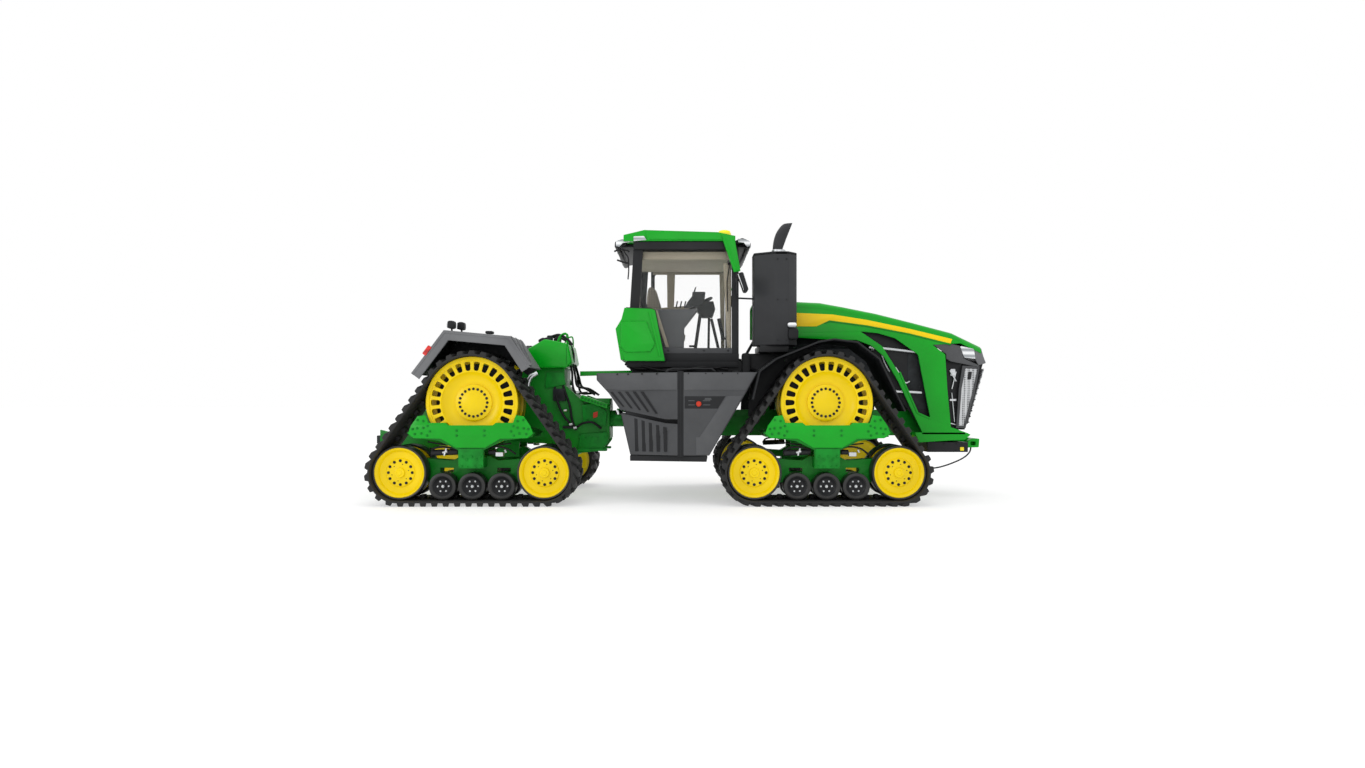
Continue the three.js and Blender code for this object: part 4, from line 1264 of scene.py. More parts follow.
    def build_frame(self) -> None:
        """The undercarriage with its bolted near plate, tongue, accumulator and hoses."""
        body = f"track_{self.tag}"
        piece(
            f"undercarriage_beams_{self.tag}", softened(f"undercarriage_{self.tag}", 0.008), FRAME_GREEN,
            body, [f"undercarriage_{self.tag}"],
        )
        half = pairs(
            289, -296, 327, -264, 553, -264, 590, -163, 691, -176, 779, -301, 816, -402, 741, -465, 389, -472,
            188, -590,
        )
        near = plate(half[::-1] + [(-x, z) for x, z in half], -0.350, -0.326, bevel=0.004)
        piece(f"near_plate_{self.tag}", self.set_down(near), GREEN, body)
        tongue = plate(
            rounded(pairs(-157, -600, 157, -600, 165, -830, 130, -860, -130, -860, -165, -830), 0.02), -0.340,
            -0.326,
        )
        piece(f"tongue_plate_{self.tag}", self.set_down(tongue), GREEN_CAST, body)
        wing = pairs(
            615, -240, 690, -226, 560, -305, 530, -375, 615, -327, 695, -335, 755, -345, 728, -410, 640, -402,
            565, -430,
        )
        spots = [(side * x, -0.350, z) for x, z in wing for side in (-1, 1)]
        spots += [(side * 0.18, -0.350, z) for z in (-0.365, -0.43) for side in (-1, 1)]
        self.heads(f"near_plate_bolts_{self.tag}", spots, body, 0.012, GREEN_CAST)
        tongue_spots = pairs(-113, -703, -50, -741, 13, -703, 75, -741, 130, -703)
        tongue_spots += pairs(-120, -830, -50, -840, 60, -840, 130, -830)
        self.heads(
            f"tongue_bolts_{self.tag}", [(x, -0.340, z) for x, z in tongue_spots], body, 0.014, GREEN_CAST
        )
        tensioner = joined(
            [
                rod((-0.56, -0.20, -0.665), (-0.20, -0.20, -0.650), 0.040),
                rod((0.20, -0.20, -0.655), (0.30, -0.20, -0.655), 0.034),
            ]
        )
        piece(f"tensioner_{self.tag}", self.set_down(tensioner), BLACK_PAINT, body)
        fittings = joined(
            [
                rod((-0.40, -0.235, -0.66), (-0.33, -0.235, -0.64), 0.020, 8),
                rod((-0.375, -0.24, -0.70), (-0.345, -0.24, -0.60), 0.013, 10),
                block((0.30, -0.24, -0.71), (0.40, -0.16, -0.655), 0.006),
                rod((0.42, -0.22, -0.62), (0.44, -0.22, -0.66), 0.015, 10),
            ]
        )
        piece(f"tensioner_fittings_{self.tag}", self.set_down(fittings), PLATED, body)
        hoses = [
            SWEEP.run(
                triples(-560, -200, -660, -500, -240, -600, -360, -250, -585, -200, -220, -620), 0.014, HOSE
            ),
            SWEEP.run(
                triples(200, -220, -600, 320, -250, -580, 460, -240, -610, 560, -200, -680), 0.012, HOSE
            ),
            SWEEP.run(
                triples(
                    -620, -150, -520, -450, -200, -545, -250, -200, -560, 250, -200, -560, 500, -200, -540
                ),
                0.010, HOSE,
            ),
        ]
        piece(f"undercarriage_hoses_{self.tag}", self.set_down(joined(hoses)), HOSE, body)

    def build(self) -> None:
        """Builds the whole unit."""
        self.build_belt()
        self.build_drive_wheel()
        for place, reach in (("fore", 0.95), ("aft", -0.95)):
            self.build_idler(place, reach, -0.922)
        for number, reach in ((1, 0.387), (2, 0.0), (3, -0.387)):
            self.build_roller(number, reach, -1.102)
        self.build_frame()


# ------------------------------------------------------------------ chassis


@dataclass
class FrontChassis:
    """The front frame with its bumper, towing bracket and cable."""

    body: str = "front_chassis"

    def build_frame(self) -> None:
        """Frame rails, deck, brackets and axle housing."""
        zones = [
            ((3.0, -0.6, 0.60), (4.20, 0.6, 0.795), BLACK_PAINT),
            ((4.00, -0.13, 0.60), (4.50, 0.13, 0.90), GREEN), ((3.3, -0.6, 0.78), (4.25, 0.6, 0.95), GREEN),
            ((-0.70, -0.75, 1.70), (0.90, 0.75, 1.90), BLACK_PAINT),
            ((1.1, -1.2, 1.90), (1.70, 1.2, 2.20), BLACK_PAINT),
        ]
        mesh = recoloured(softened("front_frame", 0.008), FRAME_GREEN, zones)
        piece("front_frame_rails", mesh, FRAME_GREEN, self.body, ["front_frame"])

    def build_bumper(self) -> None:
        """The black front bar's side covers, its reflectors and the bracket's bolts."""
        cover = joined(
            [
                block((3.573, -0.512, 0.651), (4.146, -0.498, 0.792), 0.005),
                block((3.573, 0.498, 0.651), (4.146, 0.512, 0.792), 0.005),
            ]
        )
        piece("front_bar_covers", cover, BLACK_PLASTIC, self.body)
        marks = joined(
            [block((4.03, y - 0.004, 0.672), (4.085, y + 0.004, 0.722), 0.003) for y in (-0.515, 0.515)]
        )
        piece("front_bar_reflectors", marks, BEACON, self.body)
        hook = plate(
            rounded(pairs(4200, 700, 4391, 705, 4400, 831, 4300, 835, 4236, 800), 0.012), -0.27, -0.13,
            holes=[rounded(pairs(4270, 735, 4345, 735, 4345, 790, 4270, 790), 0.01)],
        )
        piece("towing_bracket", hook, GREEN, self.body)
        spots = [(x, -0.512, z) for x in (3.62, 3.80, 3.98) for z in (0.672, 0.770)]
        bolts("front_bar_bolts", spots, self.body, 0.009)

    def build_cable(self) -> None:
        """The thin cable that hangs from the bracket to under the frame."""
        points = triples(
            4300, -118, 745, 4305, -150, 735, 4300, -195, 700, 4275, -225, 640, 4215, -245, 580, 4130, -260,
            530, 4032, -270, 488, 3887, -280, 437, 3733, -285, 405, 3600, -285, 415, 3510, -280, 460, 3460,
            -270, 530, 3440, -260, 630, 3435, -250, 720, 3435, -250, 795,
        )
        cable = piece("front_cable", SWEEP.run(points, 0.011, STACK_PAINT, 10), STACK_PAINT, self.body)

    def build(self) -> None:
        """Builds the front chassis."""
        self.build_cable()
        self.build_frame()
        arm = plate(pairs(-1450, 1752, -620, 1775, -620, 1835, -1450, 1822), -0.04, 0.04, bevel=0.006)
        piece("hose_guide_arm", arm, GREEN, self.body)
        self.build_bumper()


@dataclass
class RearChassis:
    """The rear frame, the joint between the halves, the hydraulic tank and the drawbar."""

    body: str = "rear_chassis"

    def build_frame(self) -> None:
        """The rear frame's welded body and its bolted plates."""
        zones = [((-3.1, -1.2, 2.0), (-2.85, 1.2, 2.35), BLACK_PAINT)]
        mesh = recoloured(softened("rear_frame", 0.008), FRAME_GREEN, zones)
        piece("rear_frame_body", mesh, FRAME_GREEN, self.body, ["rear_frame"])
        for side in Side:
            tag = side.word
            upper = plate(
                rounded(pairs(-1900, 1800, -1660, 1800, -1620, 1620, -1920, 1560), 0.02), -0.325, -0.299,
                bevel=0.004,
            )
            cheek = plate(
                rounded(pairs(-1360, 1050, -1040, 1020, -1020, 1220, -1200, 1350, -1380, 1320), 0.02), -0.345,
                -0.299,
            )
            low = plate(
                rounded(pairs(-1460, 620, -1400, 900, -1020, 930, -1000, 800, -1100, 660), 0.02), -0.33,
                -0.299,
            )
            foot = block((-1.46, -0.36, 0.655), (-1.02, -0.28, 0.69), 0.006)
            plates = mirrored(joined([upper, cheek, low, foot]), side)
            piece(f"frame_plates_{tag}", plates, GREEN_CAST, self.body)
            hinge = plate(
                rounded(pairs(-1410, 1400, -1020, 1270, -1000, 1330, -1380, 1470), 0.012), -0.40, -0.25
            )
            piece(f"hinge_cap_{tag}", mirrored(hinge, side), GREEN, self.body)
            spots = [(-1.37 + 0.045 * k, -0.401, 1.425 - 0.0155 * k) for k in range(8)]
            spots += triples(-1330, -345, 1260, -1300, -345, 1120, -1100, -345, 1100, -1080, -345, 1200)
            spots += [(-1.42 + 0.09 * k, -0.33, 0.86 - 0.02 * (k % 2)) for k in range(5)]
            bolts(
                f"hinge_bolts_{tag}", [(x, y * -side.value, z) for x, y, z in spots], self.body, 0.013,
                GREEN_CAST, side,
            )
            elbow = SWEEP.run(
                triples(-2020, -420, 1780, -2100, -460, 1720, -2140, -480, 1600, -2130, -470, 1450), 0.035,
                PLATED, 20,
            )
            piece(f"return_elbow_{tag}", mirrored(elbow, side), PLATED, self.body)
            tag_mesh = plate(
                rounded(pairs(-1220, 1130, -1160, 1150, -1150, 1230, -1220, 1210), 0.008), -0.352, -0.346,
                bevel=0.002,
            )
            piece(f"safety_lock_{tag}", mirrored(tag_mesh, side), CAP_RED, self.body)

    def build_hoses(self) -> None:
        """Hoses from the tank down to the steering joint."""
        paths = [
            triples(
                -1560, -250, 1900, -1530, -300, 1780, -1520, -330, 1620, -1470, -340, 1500, -1300, -330, 1500
            ),
            triples(
                -1540, -120, 1920, -1500, -200, 1750, -1460, -260, 1600, -1340, -280, 1560, -1200, -260, 1470
            ),
            triples(
                -1660, -300, 1600, -1620, -360, 1500, -1550, -380, 1300, -1520, -370, 1100, -1460, -360, 960
            ),
            triples(-1780, -310, 1580, -1740, -360, 1400, -1660, -380, 1200, -1550, -370, 1050),
            triples(-1460, -350, 1000, -1360, -380, 1060, -1220, -380, 1070, -1100, -360, 980),
        ]
        made = joined([SWEEP.run(path, 0.017, HOSE) for path in paths])
        piece("rear_hoses_right", made, HOSE, self.body)
        made = joined([mirrored(SWEEP.run(path, 0.017, HOSE), Side.LEFT) for path in paths[:3]])
        piece("rear_hoses_left", made, HOSE, self.body)
        ends = joined(
            [
                rod((x, -0.39, z), (x + 0.05, -0.39, z + 0.01), 0.019, 8)
                for x, z in pairs(-1500, 990, -1560, 1040, -1640, 1240, -1460, 1500)
            ]
        )
        piece("hose_ends_right", ends, PLATED, self.body)
        blocks = joined(
            [
                block((-1.80, -0.36, 1.38), (-1.62, -0.30, 1.56), 0.008),
                block((-1.66, -0.35, 0.98), (-1.50, -0.30, 1.02), 0.005),
            ]
        )
        piece("valve_block_right", blocks, CAST, self.body)

    def build_tank(self) -> None:
        """The hydraulic tank with its filler, breather and grab loops."""
        piece("hydraulic_tank_shell", softened("hydraulic_tank", 0.022), GREEN, self.body, ["hydraulic_tank"])
        seams = joined(
            [block((-1.60, y - 0.003, 1.90), (-1.592, y + 0.003, 2.19), 0.002) for y in (-0.421, 0.421)]
        )
        piece("tank_seams", seams, FRAME_GREEN, self.body)
        loops = [
            SWEEP.run(
                [(-1.74, y, 2.235), (-1.69, y, 2.33), (-1.62, y, 2.36), (-1.60, y, 2.30), (-1.60, y, 2.205)],
                0.011, GREEN,
            )
            for y in (-0.34, -0.22, 0.30)
        ]
        piece("tank_grab_loops", joined(loops), GREEN, self.body)
        tops = [
            rod((-1.86, -0.25, 2.25), (-1.86, -0.25, 2.335), 0.045),
            rod((-1.98, -0.10, 2.22), (-2.02, -0.10, 2.30), 0.05),
            block((-1.82, -0.20, 2.24), (-1.72, -0.05, 2.31), 0.015),
        ]
        piece("tank_fittings", joined(tops), CAST, self.body)
        hoses = [
            SWEEP.run(
                triples(-1840, -250, 2320, -1720, -300, 2340, -1600, -340, 2280, -1520, -360, 2190), 0.019,
                HOSE,
            ),
            SWEEP.run(
                triples(
                    -1980, -120, 2290, -1800, -50, 2330, -1620, -80, 2250, -1545, -100, 2100, -1530, -150,
                    1950,
                ),
                0.019, HOSE,
            ),
        ]
        piece("tank_hoses", joined(hoses), HOSE, self.body)

    def build_joint(self) -> None:
        """The yoke, the steering cylinders and the drawbar."""
        piece(
            "steering_yoke", softened("articulation_yoke", 0.006), GREEN_CAST, "center_link",
            ["articulation_yoke"],
        )
        piece("drawbar_tongue", softened("drawbar", 0.006), CAST, "drawbar", ["drawbar"])
        for side in Side:
            short = side.word[0]
            barrel = softened(f"steering_barrel_{side.word}", 0.004)
            piece(
                f"cylinder_barrel_{side.word}", barrel, BLACK_PAINT, f"cylinder_barrel_{short}",
                [f"steering_barrel_{side.word}"],
            )
            bar = softened(f"steering_rod_{side.word}", 0.003)
            piece(
                f"cylinder_rod_{side.word}", bar, CHROME, f"cylinder_rod_{short}",
                [f"steering_rod_{side.word}"],
            )

    def build(self) -> None:
        """Builds the rear chassis."""
        self.build_frame()
        self.build_hoses()
        self.build_tank()
        self.build_joint()


# ------------------------------------------------------------------ hood and nose


@dataclass
class Hood:
    """The sloping hood with its side windows, stripe, struts and the nose."""

    body: str = "hood"
    half: float = 0.520
    skin: float = 0.022
    top: tuple[Point, ...] = (
        (1.120, 2.820), (1.715, 2.805), (2.040, 2.789), (2.354, 2.732), (2.835, 2.636), (3.317, 2.516),
        (3.920, 2.359), (4.378, 2.167),
    )

    def crown(self) -> Mesh:
        """The top skin, rounded over its long edges."""
        build = bmesh.new()
        shoulder = pairs(0, -100, 3, -60, 20, -28, 55, -8, 120, 0, 300, 6)
        rows = []
        for x, z in self.top:
            narrow = max(x - 3.90, 0.0) * 0.25
            half = [(-self.half + narrow + dy, z + dz) for dy, dz in shoulder]
            ring = half + [(0.0, z + 0.008)] + [(-y, dz) for y, dz in half[::-1]]
            rows.append([build.verts.new((x, y, height)) for y, height in ring])
        for a, b in zip(rows, rows[1:]):
            for k in range(len(a) - 1):
                build.faces.new((a[k], b[k], b[k + 1], a[k + 1]))
        return self.thick(build)

    def thick(self, build: bmesh.types.BMesh) -> Mesh:
        """Gives an open upward-facing skin its thickness."""
        bmesh.ops.recalc_face_normals(build, faces=build.faces)
        if sum(face.normal.z for face in build.faces) < 0:
            bmesh.ops.reverse_faces(build, faces=build.faces)
        outside = bpy.data.meshes.new("skin")
        build.to_mesh(outside)
        build.free()
        holder = placed("skin", outside)
        solid = holder.modifiers.new("thickness", "SOLIDIFY")
        solid.thickness = self.skin
        solid.offset = -1.0
        edge = holder.modifiers.new("edge", "BEVEL")
        edge.width = 0.003
        edge.segments = 2
        edge.limit_method = "ANGLE"
        edge.angle_limit = math.radians(50)
        result = evaluated(holder)
        bpy.data.objects.remove(holder)
        bpy.data.meshes.remove(outside)
        return result

    def side_panel(self, side: Side) -> Mesh:
        """One side with its window, the strut behind it and the tall front panel."""
        upper = [(x, z - 0.092) for x, z in self.top[:-1]]
        lower = pairs(
            4100, 2205, 3640, 2180, 3819, 2044, 3850, 1550, 3900, 1007, 4106, 935, 4106, 900, 3484, 900
        )
        front = pairs(
            3484, 945, 3349, 1225, 3158, 1634, 2940, 2015, 2760, 2170, 2558, 2247, 2066, 2261, 1743, 2281
        )
        outline = [*upper, *lower, *front, (1.120, 2.330)]
        window = pairs(
            2612, 2370, 2860, 2345, 3102, 2274, 3430, 2043, 3471, 1825, 3607, 1116, 3416, 1198, 3160, 1780,
            2920, 2160,
        )
        panel = plate(
            outline, -self.half, -self.half + self.skin, holes=[rounded(window, 0.02, 3)], bevel=0.006
        )
        return mirrored(panel, side)

    def build_shell(self) -> None:
        """Crown, side panels, stripes and edge trims."""
        piece("hood_crown", self.crown(), GREEN, self.body, ["hood"])
        for side in Side:
            piece(f"hood_side_{side.word}", self.side_panel(side), GREEN, self.body)
            stripe = pairs(
                1683, 2636, 2216, 2612, 2700, 2535, 3300, 2410, 3916, 2262, 3893, 2199, 3300, 2345, 2700,
                2458, 2168, 2529, 1980, 2442, 1683, 2442,
            )
            band = plate(stripe, -self.half - 0.004, -self.half + 0.002, bevel=0.002)
            piece(f"hood_stripe_{side.word}", mirrored(band, side), STRIPE, self.body)
            line = [(x, z) for x, z in pairs(2100, 2492, 2168, 2520, 2700, 2449, 3300, 2336, 3900, 2186)]
            thin = plate(
                line + [(x, z - 0.016) for x, z in line[::-1]], -self.half - 0.003, -self.half + 0.002,
                bevel=0.001,
            )
            piece(f"stripe_shadow_line_{side.word}", mirrored(thin, side), FRAME_GREEN, self.body)
            lip_line = [(3.16, 1.78), (3.416, 1.198), (3.607, 1.116)]
            lip = plate(
                lip_line + [(x + 0.018, z + 0.02) for x, z in lip_line[::-1]], -self.half - 0.006,
                -self.half + 0.02, bevel=0.004,
            )
            piece(f"window_lip_{side.word}", mirrored(lip, side), GREEN, self.body)
            frame = pairs(1126, 2330, 1126, 2720, 1150, 2720, 1150, 2330)
            piece(
                f"hood_rear_seal_{side.word}", mirrored(plate(frame, -0.524, -0.50), side), BLACK_PLASTIC,
                self.body,
            )

    def build_bracing(self) -> None:
        """What shows through the side windows: cooler tubes, a screen and hoses."""
        for side in Side:
            tubes = [
                rod((2.74, -0.455, 2.155), (3.44, -0.455, 2.085), 0.024),
                rod((3.02, -0.455, 1.525), (3.50, -0.455, 1.50), 0.022),
                rod((2.80, -0.45, 2.11), (2.80, -0.40, 2.20), 0.030),
            ]
            piece(f"cooler_tubes_{side.word}", mirrored(joined(tubes), side), PLATED, self.body)
            screen = plate(
                pairs(2550, 2400, 2960, 2370, 3500, 2120, 3660, 1100, 3400, 1130, 3050, 1660, 2740, 2220),
                -0.425, -0.405,
            )
            piece(f"side_screen_{side.word}", mirrored(screen, side), BLACK_PLASTIC, self.body)
            hose = joined(
                [
                    SWEEP.run(
                        triples(2840, -440, 2200, 2920, -460, 2050, 2970, -460, 1920, 3040, -450, 1800),
                        0.013, PLATED,
                    ),
                    SWEEP.run([(3.13, -0.44, 1.86), (3.17, -0.46, 1.78), (3.19, -0.44, 1.70)], 0.016, HOSE),
                    SWEEP.run([(3.22, -0.44, 1.70), (3.27, -0.46, 1.64), (3.33, -0.44, 1.66)], 0.012, HOSE),
                ]
            )
            piece(f"window_pipes_{side.word}", mirrored(hose, side), PLATED, self.body)

    def build_nose(self) -> None:
        """The dark nose shell with headlamps, mesh side screens and the front screen."""
        core = plate(
            pairs(3950, 2030, 4160, 2080, 4395, 2050, 4430, 1920, 4165, 965, 4110, 965, 3980, 1900), -0.34,
            0.34, bevel=0.02,
        )
        piece("nose_core", core, BLACK_PLASTIC, self.body, ["nose_grille"])
        rim = plate(
            pairs(4090, 2190, 4385, 2145, 4466, 1930, 4075, 1985, 4050, 2100), -0.36, 0.36, bevel=0.02
        )
        piece("nose_brow", rim, FENDER_GREY, self.body)
        for side in Side:
            corner = plate(
                pairs(
                    3600, 2200, 3930, 2190, 4030, 2165, 4090, 1985, 4340, 1895, 4330, 1870, 3900, 1945, 3835,
                    1985, 3835, 2050, 3660, 2175,
                ),
                -0.512, -0.49, bevel=0.005,
            )
            piece(f"corner_panel_{side.word}", mirrored(nose_taper(corner), side), FENDER_DARK, self.body)
            lamp = plate(
                rounded(pairs(4030, 2165, 4255, 2130, 4285, 1985, 4095, 2000), 0.02), -0.516, -0.492,
                bevel=0.006,
            )
            piece(f"headlamp_{side.word}", mirrored(nose_taper(lamp), side), LAMP, self.body)
            bezel = plate(
                pairs(4255, 2150, 4385, 2135, 4455, 1925, 4340, 1895, 4285, 1985), -0.50, -0.47, bevel=0.005
            )
            piece(f"lamp_bezel_{side.word}", mirrored(nose_taper(bezel), side), FENDER_GREY, self.body)
            mesh = plate(
                pairs(4130, 1865, 4335, 1855, 4250, 1520, 4100, 1020, 4010, 1020, 4050, 1550), -0.49, -0.478,
                bevel=0.003,
            )
            piece(f"side_mesh_{side.word}", mirrored(nose_taper(mesh), side), PUNCHED, self.body)
            frame = plate(
                pairs(4075, 1885, 4360, 1880, 4280, 1500, 4125, 990, 3980, 990, 4020, 1550), -0.500, -0.476,
                holes=[pairs(4125, 1850, 4325, 1840, 4245, 1510, 4100, 1025, 4020, 1025, 4060, 1550)],
                bevel=0.004,
            )
            piece(f"side_mesh_frame_{side.word}", mirrored(nose_taper(frame), side), GREY_PANEL, self.body)
            square = plate(
                rounded(pairs(4175, 1800, 4230, 1800, 4215, 1690, 4160, 1690), 0.01), -0.502, -0.48,
                bevel=0.003,
            )
            piece(f"mesh_port_{side.word}", mirrored(nose_taper(square), side), BLACK_PLASTIC, self.body)
            backing = plate(pairs(3840, 2000, 4080, 1930, 4040, 960, 3860, 960), -0.44, -0.42)
            piece(f"gap_backing_{side.word}", mirrored(backing, side), BLACK_PLASTIC, self.body)
            clutter = joined(
                [
                    rod((3.90, -0.465, 1.82), (3.99, -0.465, 1.66), 0.014),
                    rod((3.99, -0.465, 1.80), (3.93, -0.465, 1.55), 0.010),
                    rod((3.93, -0.46, 1.50), (3.97, -0.46, 1.08), 0.009),
                    block((3.90, -0.47, 1.38), (4.00, -0.44, 1.41), 0.005),
                    rod((3.91, -0.46, 1.06), (3.99, -0.46, 1.04), 0.012),
                    block((3.91, -0.47, 1.74), (3.98, -0.45, 1.84), 0.006),
                ]
            )
            piece(f"cooler_pipes_{side.word}", mirrored(clutter, side), PLATED, self.body)
        front = plate(
            pairs(-330, 1030, 330, 1030, 370, 1860, -370, 1860), -0.006, 0.006, Plane.CROSS, bevel=0.003
        )
        lean = Matrix.Translation((4.315, 0, 1.45)) @ Matrix.Rotation(
            math.radians(15.5), 4, "Y"
        ) @ Matrix.Translation((0, 0, -1.45))
        piece("front_mesh", moved(front, lean), PUNCHED, self.body)
        slats = [((0, 0, 1.06 + 0.085 * k), (0.0, 0.0, 0.0)) for k in range(10)]
        bar = block((-0.006, -0.36, -0.008), (0.012, 0.36, 0.008), 0.004)
        piece("front_slats", moved(REPEAT.run(bar, slats, GREY_PANEL), lean), GREY_PANEL, self.body)

    def build(self) -> None:
        """Builds the hood and the nose."""
        self.build_shell()
        self.build_bracing()
        self.build_nose()


def nose_taper(mesh: Mesh) -> Mesh:
    """Draws the nose in towards the front.

    Args:
        mesh: A right-hand shape.

    Returns:
        The same mesh.
    """
    for vertex in mesh.vertices:
        vertex.co.y += 0.36 * max(vertex.co.x - 4.05, 0.0)
    return mesh


@dataclass
class EngineBay:
    """The engine, the stack and what stands beside them."""

    body: str = "front_chassis"

    def build(self) -> None:
        """Builds the engine and the exhaust stack."""
        piece("engine_block", softened("engine", 0.012), CAST, self.body, ["engine"])
        covers = joined(
            [block((1.52 + 0.24 * k, -0.18, 2.40), (1.70 + 0.24 * k, 0.18, 2.47), 0.02) for k in range(6)]
        )
        piece("valve_covers", covers, BLACK_PLASTIC, self.body)
        belts = SWEEP.run(
            triples(3130, -200, 1900, 3200, -240, 2000, 3260, -240, 2100, 3310, -200, 2100), 0.03, HOSE
        )
        piece("coolant_hose", belts, HOSE, self.body)
        low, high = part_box("exhaust_stack")
        foot = 3.401
        can = [
            (low.x, -0.70), (low.x, -0.95), (low.x + 0.27, -1.10), (high.x - 0.13, -1.10), (high.x, -0.98),
            (high.x, -0.70),
        ]
        can = [(min(x, 1.636), y) for x, y in can]
        shell = plate(rounded(can, 0.02, 3), 2.139, foot, Plane.PLAN, bevel=0.012)
        piece("stack_can", shell, STACK_PAINT, self.body, ["exhaust_stack"])
        cap = plate(
            rounded([(x, y) for x, y in can], 0.02, 3), foot - 0.045, foot + 0.004, Plane.PLAN, bevel=0.012
        )
        piece("stack_cap", cap, BLACK_PLASTIC, self.body)
        route = triples(
            1396, -900, 3380, 1396, -900, 3460, 1405, -900, 3550, 1435, -900, 3650, 1500, -900, 3740, 1600,
            -900, 3800,
        )
        pipe = SWEEP.run(route, 0.083, STACK_PAINT, 40)
        for vertex in pipe.vertices:
            vertex.co.z = min(vertex.co.z, 3.812)
            vertex.co.x = min(vertex.co.x, 1.472 + (vertex.co.z - 3.539) * 0.375)
        piece("exhaust_pipe", pipe, STACK_PAINT, self.body)
        collar = lathe(pairs(88, 0, 98, 10, 98, 45, 88, 55, 70, 55, 70, 0), (1.396, -0.90, 3.40), 48, "Z")
        piece("pipe_collar", collar, PLATED, self.body)
        spots = [(x, -1.102, z) for x in (1.36, 1.48) for z in (2.2, 2.75, 3.3)]
        bolts("stack_bolts", spots, self.body, 0.008)
        lens = block((1.49, -1.152, 2.372), (1.61, -1.10, 2.436), 0.012)
        piece("stack_side_lamp", lens, LAMP, self.body)
        holder = joined(
            [
                block((1.50, -1.13, 2.21), (1.64, -1.05, 2.366), 0.02),
                rod((1.60, -1.09, 2.30), (1.60, -0.95, 2.30), 0.02),
            ]
        )
        piece("stack_lamp_bracket", holder, BLACK_PLASTIC, self.body)
        intake = block((0.93, -0.70, 1.63), (1.50, -0.62, 2.045), 0.02)
        piece("intake_box", intake, BLACK_PLASTIC, self.body)
        brace = joined(
            [
                rod((0.83, -0.86, 2.80), (1.06, -0.86, 2.79), 0.012),
                rod((1.10, -0.60, 2.26), (0.92, -0.72, 1.95), 0.02),
            ]
        )
        piece("stack_brace", brace, BLACK_PAINT, self.body)
        cleaner = lathe(
            pairs(0, -300, 140, -300, 150, -280, 150, 280, 140, 300, 0, 300), (1.28, -0.55, 2.42), 40, "Z"
        )
        piece("air_cleaner", cleaner, BLACK_PLASTIC, self.body)
        clamps = joined([block((1.12, -0.70, z), (1.16, -0.62, z + 0.07), 0.01) for z in (2.20, 2.36)])
        piece("air_cleaner_clamps", clamps, PLATED, self.body)


# ------------------------------------------------------------------ tanks and fenders


